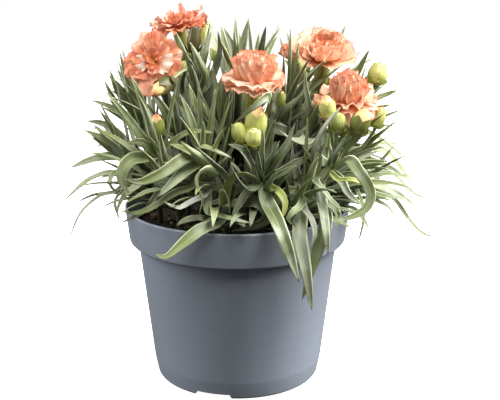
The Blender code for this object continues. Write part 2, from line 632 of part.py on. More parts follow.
def tube_mesh(line, radius, sides=6):
    """The closed tube along a line of points, as a mesh."""
    curve = bpy.data.curves.new("tube", "CURVE")
    curve.dimensions = "3D"
    curve.bevel_depth = radius
    curve.bevel_resolution = max(0, sides // 2 - 2)
    curve.use_fill_caps = True
    spline = curve.splines.new("POLY")
    spline.points.add(len(line) - 1)
    for point, place in zip(spline.points, line):
        point.co = (*place, 1)
    guide = bpy.data.objects.new("tube", curve)
    bpy.context.scene.collection.objects.link(guide)
    bpy.context.view_layer.update()
    graph = bpy.context.evaluated_depsgraph_get()
    mesh = bpy.data.meshes.new_from_object(guide.evaluated_get(graph))
    bpy.data.objects.remove(guide)
    whole = bmesh.new()
    whole.from_mesh(mesh)
    bmesh.ops.remove_doubles(whole, verts=whole.verts, dist=1e-6)
    bmesh.ops.recalc_face_normals(whole, faces=whole.faces)
    whole.to_mesh(mesh)
    whole.free()
    return mesh


def leaf_mesh(leaf):
    """A leaf as a thin solid: two edges and a keel, lofted along its line to a point."""
    last = len(leaf.line) - 1
    bend = sum(direction(leaf.line, i).angle(direction(leaf.line, i + 1)) for i in range(last))
    stations = 3 + min(3, round(bend / 0.7))
    whole = bmesh.new()
    rings = []
    for k in range(stations):
        s = k / stations
        centre, half, face = leaf.section(round(s * last), blade_width(s) if k else 0.35)
        rise = half.length * 2 * CHANNEL_SHARE
        keel = max(0.0005, half.length * 2 * KEEL_SHARE)
        places = (centre - half + face * rise, centre - face * keel, centre + half + face * rise)
        rings.append([whole.verts.new(p) for p in places])
    tip = whole.verts.new(leaf.line[-1])
    for a, b in zip(rings, rings[1:]):
        for i in range(3):
            j = (i + 1) % 3
            whole.faces.new((a[i], a[j], b[j], b[i]))
    whole.faces.new(reversed(rings[0]))
    for i in range(3):
        whole.faces.new((rings[-1][i], rings[-1][(i + 1) % 3], tip))
    bmesh.ops.recalc_face_normals(whole, faces=whole.faces)
    mesh = bpy.data.meshes.new("leaf")
    whole.to_mesh(mesh)
    whole.free()
    return mesh


def turned(name, profile, group, material, steps, place=None, axis=None):
    """A turned solid from a profile of (radius, height), which runs down its outer side."""
    mesh = bpy.data.meshes.new(name)
    mesh.from_pydata([(r, 0, z) for r, z in profile], [(i, i + 1) for i in range(len(profile) - 1)], [])
    made = add_mesh(name, mesh, group, material)
    screw = made.modifiers.new("turn", "SCREW")
    screw.steps = screw.render_steps = steps
    screw.use_merge_vertices = True
    screw.merge_threshold = 0.00001
    screw.use_smooth_shade = True
    if place:
        made.location = place
        made.rotation_mode = "QUATERNION"
        made.rotation_quaternion = Vector((0, 0, 1)).rotation_difference(axis)
    return made


def pot_profile():
    """Down the pot's section: inner floor, inner wall, rim, collar, outer wall, foot."""
    shoulder = POT_HEIGHT - COLLAR_HEIGHT
    floor = RAISED_FLOOR + WALL
    pad = CENTRE_PAD_RADIUS
    inner = [
        (0, WALL),
        (pad - 0.0005, WALL),
        (pad + 0.0020, floor),
        (FOOT_RADIUS - WALL - 0.0006, floor),
        (CREASE_RADIUS - WALL, CREASE_HEIGHT + 0.0006),
        (SHOULDER_RADIUS - WALL, shoulder + WALL),
        (COLLAR_FOOT_RADIUS - WALL, shoulder + WALL + 0.0010),
        (RIM_RADIUS - WALL - 0.0002, POT_HEIGHT - 0.0004),
    ]
    outer = [
        (RIM_RADIUS - 0.0009, POT_HEIGHT),
        (RIM_RADIUS, POT_HEIGHT - 0.0006),
        (COLLAR_FOOT_RADIUS, shoulder + 0.0008),
        (COLLAR_FOOT_RADIUS - 0.0007, shoulder),
        (SHOULDER_RADIUS, shoulder - 0.0004),
        (CREASE_RADIUS, CREASE_HEIGHT),
        (FOOT_RADIUS, 0.0008),
        (FOOT_RADIUS - 0.0007, 0),
        (FOOT_RADIUS - 0.0030, 0),
        (FOOT_RADIUS - 0.0040, RAISED_FLOOR),
        (pad + 0.0030, RAISED_FLOOR),
        (pad + 0.0005, 0),
        (0, 0),
    ]
    return inner + outer


def soil_profile():
    """Down the soil's section: its crowned top, its side and its underside."""
    shoulder = POT_HEIGHT - COLLAR_HEIGHT
    floor = RAISED_FLOOR + WALL
    pad = CENTRE_PAD_RADIUS
    return [
        (0, SOIL_CROWN),
        (0.028, SOIL_CROWN - 0.0006),
        (0.050, SOIL_EDGE + 0.0008),
        (0.0612, SOIL_EDGE),
        (COLLAR_FOOT_RADIUS - WALL - GAP, shoulder + WALL + 0.0010 + 2 * GAP),
        (SHOULDER_RADIUS - WALL - 2 * GAP, shoulder + WALL + 2 * GAP),
        (CREASE_RADIUS - WALL - GAP, CREASE_HEIGHT + 0.0008),
        (FOOT_RADIUS - WALL - 0.0009 - GAP, floor + GAP),
        (pad + 0.0018, floor + GAP),
        (pad - 0.0008, WALL + GAP),
        (0, WALL + GAP),
    ]


def cut(target, cutters):
    boolean = target.modifiers.new("cut", "BOOLEAN")
    boolean.operation = "DIFFERENCE"
    boolean.operand_type = "COLLECTION"
    boolean.collection = cutters


def cylinder(name, radius, bottom, top, place, group, sides=10):
    """An upright cylinder to cut with."""
    whole = bmesh.new()
    bmesh.ops.create_cone(
        whole, cap_ends=True, segments=sides, radius1=radius, radius2=radius, depth=top - bottom
    )
    mesh = bpy.data.meshes.new(name)
    whole.to_mesh(mesh)
    whole.free()
    made = add_mesh(name, mesh, group, helper=True)
    made.location = (place[0], place[1], (bottom + top) / 2)
    return made


def add_pot(group):
    plastic = finish_of("pot_plastic", POT_GREY, 0.45)
    pot = turned("pot", pot_profile(), group, plastic, POT_STEPS)
    cutters = collection("pot_cutters", hidden=True)
    for i in range(NOTCHES):
        angle = NOTCH_FIRST_ANGLE + i * math.tau / NOTCHES
        whole = bmesh.new()
        bmesh.ops.create_cube(whole, size=1.0)
        for v in whole.verts:
            narrow = 1.0 if v.co.z < 0 else 0.82
            v.co = Vector((v.co.x * 0.016, v.co.y * NOTCH_WIDTH * narrow, v.co.z * 2 * RAISED_FLOOR))
        mesh = bpy.data.meshes.new("notch")
        whole.to_mesh(mesh)
        whole.free()
        notch = add_mesh(f"notch_{i + 1}", mesh, cutters, helper=True)
        out = FOOT_RADIUS - 0.0040 + 0.008 - 0.0006
        notch.location = (math.cos(angle) * out, math.sin(angle) * out, 0.0001)
        notch.rotation_euler = (0, 0, angle)
    for i in range(DRAIN_HOLES):
        angle = i * math.tau / DRAIN_HOLES
        place = (math.cos(angle) * DRAIN_CIRCLE, math.sin(angle) * DRAIN_CIRCLE)
        cylinder(f"drain_{i + 1}", DRAIN_RADIUS, -0.002, 0.008, place, cutters)
    cut(pot, cutters)
    return pot


def add_soil(group, roots):
    peat = finish_of("peat", PEAT, 0.95)
    soil = turned("soil", soil_profile(), group, peat, POT_STEPS // 2)
    cutters = collection("sockets", hidden=True)
    bottom = SOIL_CROWN - PLANTING_DEPTH - GAP
    for number, (radius, root) in enumerate(roots):
        cylinder(f"socket_{number + 1}", radius + 3 * GAP, bottom, SOIL_CROWN + 0.01, root, cutters, 6)
    cut(soil, cutters)
    return soil


def add_stem(name, tube, stalks, leaves, group, material):
    """A stem with its bud stalks and leaves, joined in one body."""
    stem = add_mesh(name, tube, group, material)
    if not stalks and not leaves:
        return stem
    joined = collection(name + "_parts", hidden=True)
    for number, stalk in enumerate(stalks):
        add_mesh(f"{name}_stalk_{number + 1}", stalk, joined, helper=True)
    for number, leaf in enumerate(leaves):
        add_mesh(f"{name}_leaf_{number + 1}", leaf_mesh(leaf), joined, helper=True)
    boolean = stem.modifiers.new("join", "BOOLEAN")
    boolean.operation = "UNION"
    boolean.operand_type = "COLLECTION"
    boolean.collection = joined
    return stem


def add_flower(flower, group, green, petals):
    """A flower's calyx and its ruffled corolla."""
    name, _, _, radius, height, _ = flower
    base, corolla_base, axis = flower_base(flower)
    calyx = [
        (0, CALYX_LENGTH - GAP),
        (CALYX_RADIUS * 0.92, CALYX_LENGTH - GAP),
        (CALYX_RADIUS, CALYX_LENGTH * 0.72),
        (CALYX_RADIUS * 0.86, CALYX_LENGTH * 0.30),
        (FLOWER_STEM_RADIUS * 1.2, CALYX_LENGTH * 0.03),
        (FLOWER_STEM_RADIUS * 0.9, 0),
        (0, 0),
    ]
    turned("calyx_" + name, calyx, group, green, 8, base, axis)
    whole = bmesh.new()
    bmesh.ops.create_uvsphere(whole, u_segments=16, v_segments=7, radius=1.0)
    for v in whole.verts:
        about = math.atan2(v.co.y, v.co.x)
        level = (v.co.z + 1) / 2
        out = min(1.0, math.hypot(v.co.x, v.co.y))
        flare = CALYX_RADIUS * 0.7 if level < 0.1 else radius
        ruffle = 1 + 0.10 * math.sin(about * 6 + level * 5)
        reach = out * flare * ruffle
        v.co = Vector((math.cos(about) * reach, math.sin(about) * reach, level * height))
    mesh = bpy.data.meshes.new("corolla_" + name)
    whole.to_mesh(mesh)
    whole.free()
    mesh.shade_smooth()
    corolla = add_mesh("corolla_" + name, mesh, group, petals)
    corolla.location = corolla_base
    corolla.rotation_mode = "QUATERNION"
    corolla.rotation_quaternion = Vector((0, 0, 1)).rotation_difference(axis)


def add_bud(bud, group, material):
    """A closed bud: a turned egg, widest below its middle, with a blunt point."""
    name, centre, length, diameter, pointing, _, _ = bud
    axis = Vector(pointing).normalized()
    base = seen(*centre) - axis * (length / 2)
    r = diameter / 2
    shape = ((1.0, 0.0), (0.92, 0.36), (0.66, 0.84), (0.36, 1.0), (0.10, 0.66), (0.0, 0.24), (0.0, 0.0))
    profile = [(out * r, up * length) for up, out in shape]
    turned("bud_" + name, profile, group, material, 8, base, axis)


def main():
    for leftover in list(bpy.data.objects):
        bpy.data.objects.remove(leftover)
    plant = collection("potted_dianthus")
    leaf_green = finish_of("leaf_green", GREEN, 0.55)
    bud_green = finish_of("bud_green", PALE_GREEN, 0.50)
    petal = finish_of("petal", SALMON, 0.60)
    stems, stalks, leaves = grow()
    radii = {name: FLOWER_STEM_RADIUS if name.startswith("flower") else STEM_RADIUS for name in stems}
    sides = {name: 6 if name.startswith("flower") else 4 for name in stems}
    tubes = {name: tube_mesh(line, radii[name], sides[name]) for name, line in stems.items()}
    side_tubes = {}
    for name, lines in stalks.items():
        side_tubes[name] = [tube_mesh(line, STALK_RADIUS, 4) for line in lines]
    add_pot(plant)
    add_soil(plant, [(radii[name], line[0].xy) for name, line in stems.items()])
    for name in stems:
        own = [leaf for leaf in leaves if leaf.shoot == name]
        add_stem(name, tubes[name], side_tubes.get(name, []), own, plant, leaf_green)
    for flower in FLOWERS:
        add_flower(flower, plant, bud_green, petal)
    for bud in BUDS:
        add_bud(bud, plant, bud_green)
    print(len(stems), "stems", len(leaves), "leaves")


main()
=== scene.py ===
"""Looks of a dwarf carnation (Dianthus) in its plastic growing pot.

The CAD frame gives the boxes and the record. Its plain solids are replaced here by fine ones that stand
in the same places: the plant is grown again by the same rules and numbers, then drawn with veined leaves,
toothed calyxes and ruffled petals. Metres, +Z up, -Y towards the viewer.
"""

import math
import random

import bmesh
import bpy
from mathutils import Matrix, Quaternion, Vector, noise

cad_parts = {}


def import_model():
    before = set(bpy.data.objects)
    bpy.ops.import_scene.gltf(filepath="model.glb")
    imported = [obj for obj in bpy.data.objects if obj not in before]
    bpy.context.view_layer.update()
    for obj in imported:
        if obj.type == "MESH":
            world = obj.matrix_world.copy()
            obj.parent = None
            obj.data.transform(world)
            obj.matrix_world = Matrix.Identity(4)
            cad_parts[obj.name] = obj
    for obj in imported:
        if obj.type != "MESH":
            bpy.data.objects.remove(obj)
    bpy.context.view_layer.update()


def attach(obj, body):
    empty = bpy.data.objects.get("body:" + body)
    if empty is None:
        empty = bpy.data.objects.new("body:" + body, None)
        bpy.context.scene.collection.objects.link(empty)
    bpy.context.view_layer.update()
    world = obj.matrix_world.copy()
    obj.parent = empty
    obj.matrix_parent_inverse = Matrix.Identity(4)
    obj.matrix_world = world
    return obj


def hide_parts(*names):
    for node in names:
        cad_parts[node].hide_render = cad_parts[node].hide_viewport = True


# The pot: a growing pot of nominal size 13 cm
POT_HEIGHT = 0.102
RIM_RADIUS = 0.065
COLLAR_HEIGHT = 0.0205
SHOULDER_HEIGHT = POT_HEIGHT - COLLAR_HEIGHT
COLLAR_FOOT_RADIUS = 0.0627
SHOULDER_RADIUS = 0.0578
CREASE_HEIGHT = 0.010
CREASE_RADIUS = 0.0496
FOOT_RADIUS = 0.0478
WALL = 0.0012
RAISED_FLOOR = 0.0026
FLOOR_TOP = RAISED_FLOOR + WALL
PAD_RADIUS = 0.020
NOTCHES = 3
NOTCH_FIRST_ANGLE = math.radians(-107.5)
NOTCH_WIDTH = 0.024
NOTCH_REACH = 0.016
NOTCH_OVERCUT = 0.0006
NOTCH_TAPER = 0.82
FOOT_RING = 0.0040
DRAIN_HOLES = 6
DRAIN_RADIUS = 0.0035
DRAIN_CIRCLE = 0.032
DRAIN_SIDES = 28
DRAIN_CUT = 0.010
DRAIN_CUT_HEIGHT = 0.003

# The growing medium that fills it
SOIL_EDGE = 0.0925
SOIL_CROWN = 0.0955
SOIL_RADIUS = 0.0612
GAP = 0.0003
PLANTING_DEPTH = 0.010

# The green cup under a flower
CALYX_LENGTH = 0.016
CALYX_RADIUS = 0.0046

# Stems and leaves
STEM_RADIUS = 0.0016
FLOWER_STEM_RADIUS = 0.0017
STALK_RADIUS = 0.0010
STEM_STEPS = 6
CURVE_STEPS = 12
GROUND_LIFT = 0.001
NECK = 0.003
SHOOT_POINT = 0.006
STEM_BOW = 0.36
REACH = 0.108
LEAF_LENGTH = 0.062
LEAF_WIDTH = 0.0056
LEAF_CLEARANCE = 0.0019
SAMPLE_STEP = 0.0014
CLASP = 0.012
ATTEMPTS = 35
TRIED_TURNS = (0, 0.3, -0.3, 0.6, -0.6)
FLOWER_STEM_JOINTS = (4, 6)
CHANNEL_SHARE = 0.22

# Seeds of the random draws
FILL_SEED = 7
EXTRA_SEED = 17
SHOOT_SEED = 11
CALYX_SEED = 23
PETAL_SEED = 5
SOIL_SEED = 3

# How near leaves come to the pot and the soil: within the pot, a height over the soil, and past the rim
POT_INSIDE = 0.0592
OVER_SOIL = 0.0015
PAST_RIM = 0.0016
OVER_RIM = 0.0014

# How a leaf that is placed by pixel finds room: moves in depth, tried in turn, and the way it faces
SHIFTS = (0, 0.002, -0.002, 0.004, -0.004, 0.006, -0.006, 0.009, -0.009, 0.012, -0.012, 0.015)
STEMWARD = 0.6
TOWARDS_VIEWER = Vector((0, -0.97, 0.26))

# The viewpoint that pixels are read from
VIEW_DISTANCE = 0.576
VIEW_HEIGHT = 0.2586
VIEW_PITCH = math.radians(15.11)
VIEW_YAW = math.radians(0.725)
VIEW_FOCAL = 1027.6
VIEW_CENTRE = (250.0, 200.0)
EYE = Vector((0, -VIEW_DISTANCE, VIEW_HEIGHT))
SENSOR_WIDTH = 36


def seen(u, v, y):
    """The point at depth y that shows at pixel (u, v)."""
    sin_p, cos_p = math.sin(VIEW_PITCH), math.cos(VIEW_PITCH)
    sin_y, cos_y = math.sin(VIEW_YAW), math.cos(VIEW_YAW)
    ahead = Vector((sin_y * cos_p, cos_y * cos_p, -sin_p))
    right = Vector((cos_y, -sin_y, 0))
    up = Vector((sin_y * sin_p, cos_y * sin_p, cos_p))
    ray = ahead + right * ((u - VIEW_CENTRE[0]) / VIEW_FOCAL) + up * ((VIEW_CENTRE[1] - v) / VIEW_FOCAL)
    return EYE + ray * ((y - EYE.y) / ray.y)


# The plant's two sides from that viewpoint, as pixels from shoulder to rim. Only leaves that are placed
# one by one go past them.
LEFT_SIDE = ((114, 60), (62, 205))
RIGHT_SIDE = ((374, 46), (432, 225))

# Flowers: (name, corolla centre as pixel and depth, the way it faces, radius, height, root on the soil)
FLOWERS = [
    ("1", (177, 18, 0.012), (-0.25, 0.05, 0.95), 0.0145, 0.016, (-0.013, 0.013)),
    ("2", (152, 59, -0.026), (-0.30, -0.85, 0.42), 0.0160, 0.013, (-0.028, -0.012)),
    ("3", (253, 73, -0.030), (0.02, -0.16, 0.98), 0.0180, 0.021, (0.006, -0.013)),
    ("4", (324, 47, 0.014), (0.05, -0.22, 0.97), 0.0185, 0.019, (0.024, 0.010)),
    ("5", (347, 93, -0.026), (0.02, -0.35, 0.93), 0.0175, 0.023, (0.037, -0.016)),
    ("6", (289, 52, 0.032), (-0.45, -0.25, 0.85), 0.0075, 0.012, (0.013, 0.031)),
]

# Buds: (name, centre as pixel and depth, length, diameter, the way it points, carrying stem,
# and how far up that stem the stalk leaves it, 0 to 1)
BUDS = [
    ("1", (194, 39, -0.004), 0.0150, 0.0076, (0.10, 0.0, 1.0), "flower_stem_1", 0.62),
    ("2", (204, 34, 0.016), 0.0125, 0.0060, (0.15, 0.1, 1.0), "flower_stem_1", 0.50),
    ("3", (239, 132, -0.046), 0.0110, 0.0086, (-0.30, -0.15, 1.0), "flower_stem_3", 0.36),
    ("4", (254, 137, -0.056), 0.0100, 0.0094, (-0.10, -0.35, 1.0), "flower_stem_3", 0.25),
    ("5", (256, 121, -0.044), 0.0185, 0.0120, (0.12, -0.10, 1.0), "flower_stem_3", 0.36),
    ("6", (281, 98, -0.020), 0.0085, 0.0050, (0.15, -0.10, 1.0), "flower_stem_3", 0.50),
    ("7", (378, 73, 0.006), 0.0125, 0.0112, (0.25, 0.0, 1.0), "flower_stem_5", 0.60),
    ("8", (327, 106, -0.054), 0.0120, 0.0088, (-0.15, -0.20, 1.0), "flower_stem_5", 0.50),
    ("9", (338, 122, -0.054), 0.0105, 0.0086, (0.05, -0.10, 1.0), "flower_stem_5", 0.36),
    ("10", (361, 121, -0.055), 0.0150, 0.0104, (0.40, -0.10, 1.0), "flower_stem_5", 0.40),
    ("11", (379, 117, -0.020), 0.0125, 0.0076, (0.35, 0.0, 1.0), "flower_stem_5", 0.48),
    ("12", (157, 125, -0.034), 0.0125, 0.0084, (-0.05, -0.10, 1.0), "flower_stem_2", 0.42),
    ("13", (162, 87, -0.044), 0.0150, 0.0092, (-0.55, -0.60, -0.38), "flower_stem_2", 0.60),
    ("14", (215, 52, 0.034), 0.0100, 0.0062, (0.05, 0.0, 1.0), "flower_stem_1", 0.42),
    ("15", (198, 77, 0.024), 0.0110, 0.0074, (0.20, -0.10, 1.0), "flower_stem_1", 0.36),
]

# Leafy shoots: (name, crown as pixel and depth, root on the soil, leaf pairs, leaf length as a share,
# the way the first pair faces in degrees)
SHOOTS = [
    ("front", (262, 184, -0.050), (0.010, -0.036), 4, 1.0, 20),
    ("front_right", (325, 173, -0.042), (0.034, -0.032), 4, 1.0, 65),
    ("front_left", (205, 166, -0.046), (-0.012, -0.034), 5, 1.0, 10),
    ("left_front", (160, 160, -0.040), (-0.032, -0.028), 5, 1.0, 40),
    ("low_left", (226, 210, -0.052), (-0.006, -0.047), 2, 0.8, 80),
    ("low_right", (305, 194, -0.050), (0.026, -0.044), 2, 0.9, 30),
    ("middle", (224, 146, -0.030), (-0.006, -0.020), 5, 1.0, 15),
    ("middle_left", (178, 136, -0.022), (-0.019, -0.022), 5, 1.0, 75),
    ("left", (130, 160, -0.014), (-0.044, -0.012), 5, 1.0, 55),
    ("left_rear", (142, 124, 0.004), (-0.036, 0.006), 5, 1.0, 25),
    ("top_left", (200, 100, -0.004), (-0.015, -0.004), 4, 0.9, 45),
    ("top_middle", (236, 92, 0.000), (-0.002, 0.002), 5, 1.0, 22),
    ("top_right", (286, 104, 0.004), (0.013, 0.004), 4, 1.0, 60),
    ("right_middle", (312, 126, -0.020), (0.021, -0.018), 4, 0.95, 35),
    ("right", (352, 160, -0.012), (0.045, -0.002), 5, 1.0, 80),
    ("low_far_right", (350, 187, -0.020), (0.049, -0.018), 3, 1.0, 24),
    ("right_rear", (352, 110, 0.024), (0.036, 0.022), 5, 1.0, 50),
    ("rear_right", (310, 96, 0.052), (0.018, 0.044), 5, 1.0, 30),
    ("rear_middle", (252, 92, 0.048), (0.000, 0.026), 4, 1.0, 70),
    ("rear_left", (186, 100, 0.044), (-0.022, 0.032), 5, 1.0, 5),
    ("rear_low", (232, 116, 0.070), (-0.004, 0.049), 4, 1.0, 40),
]

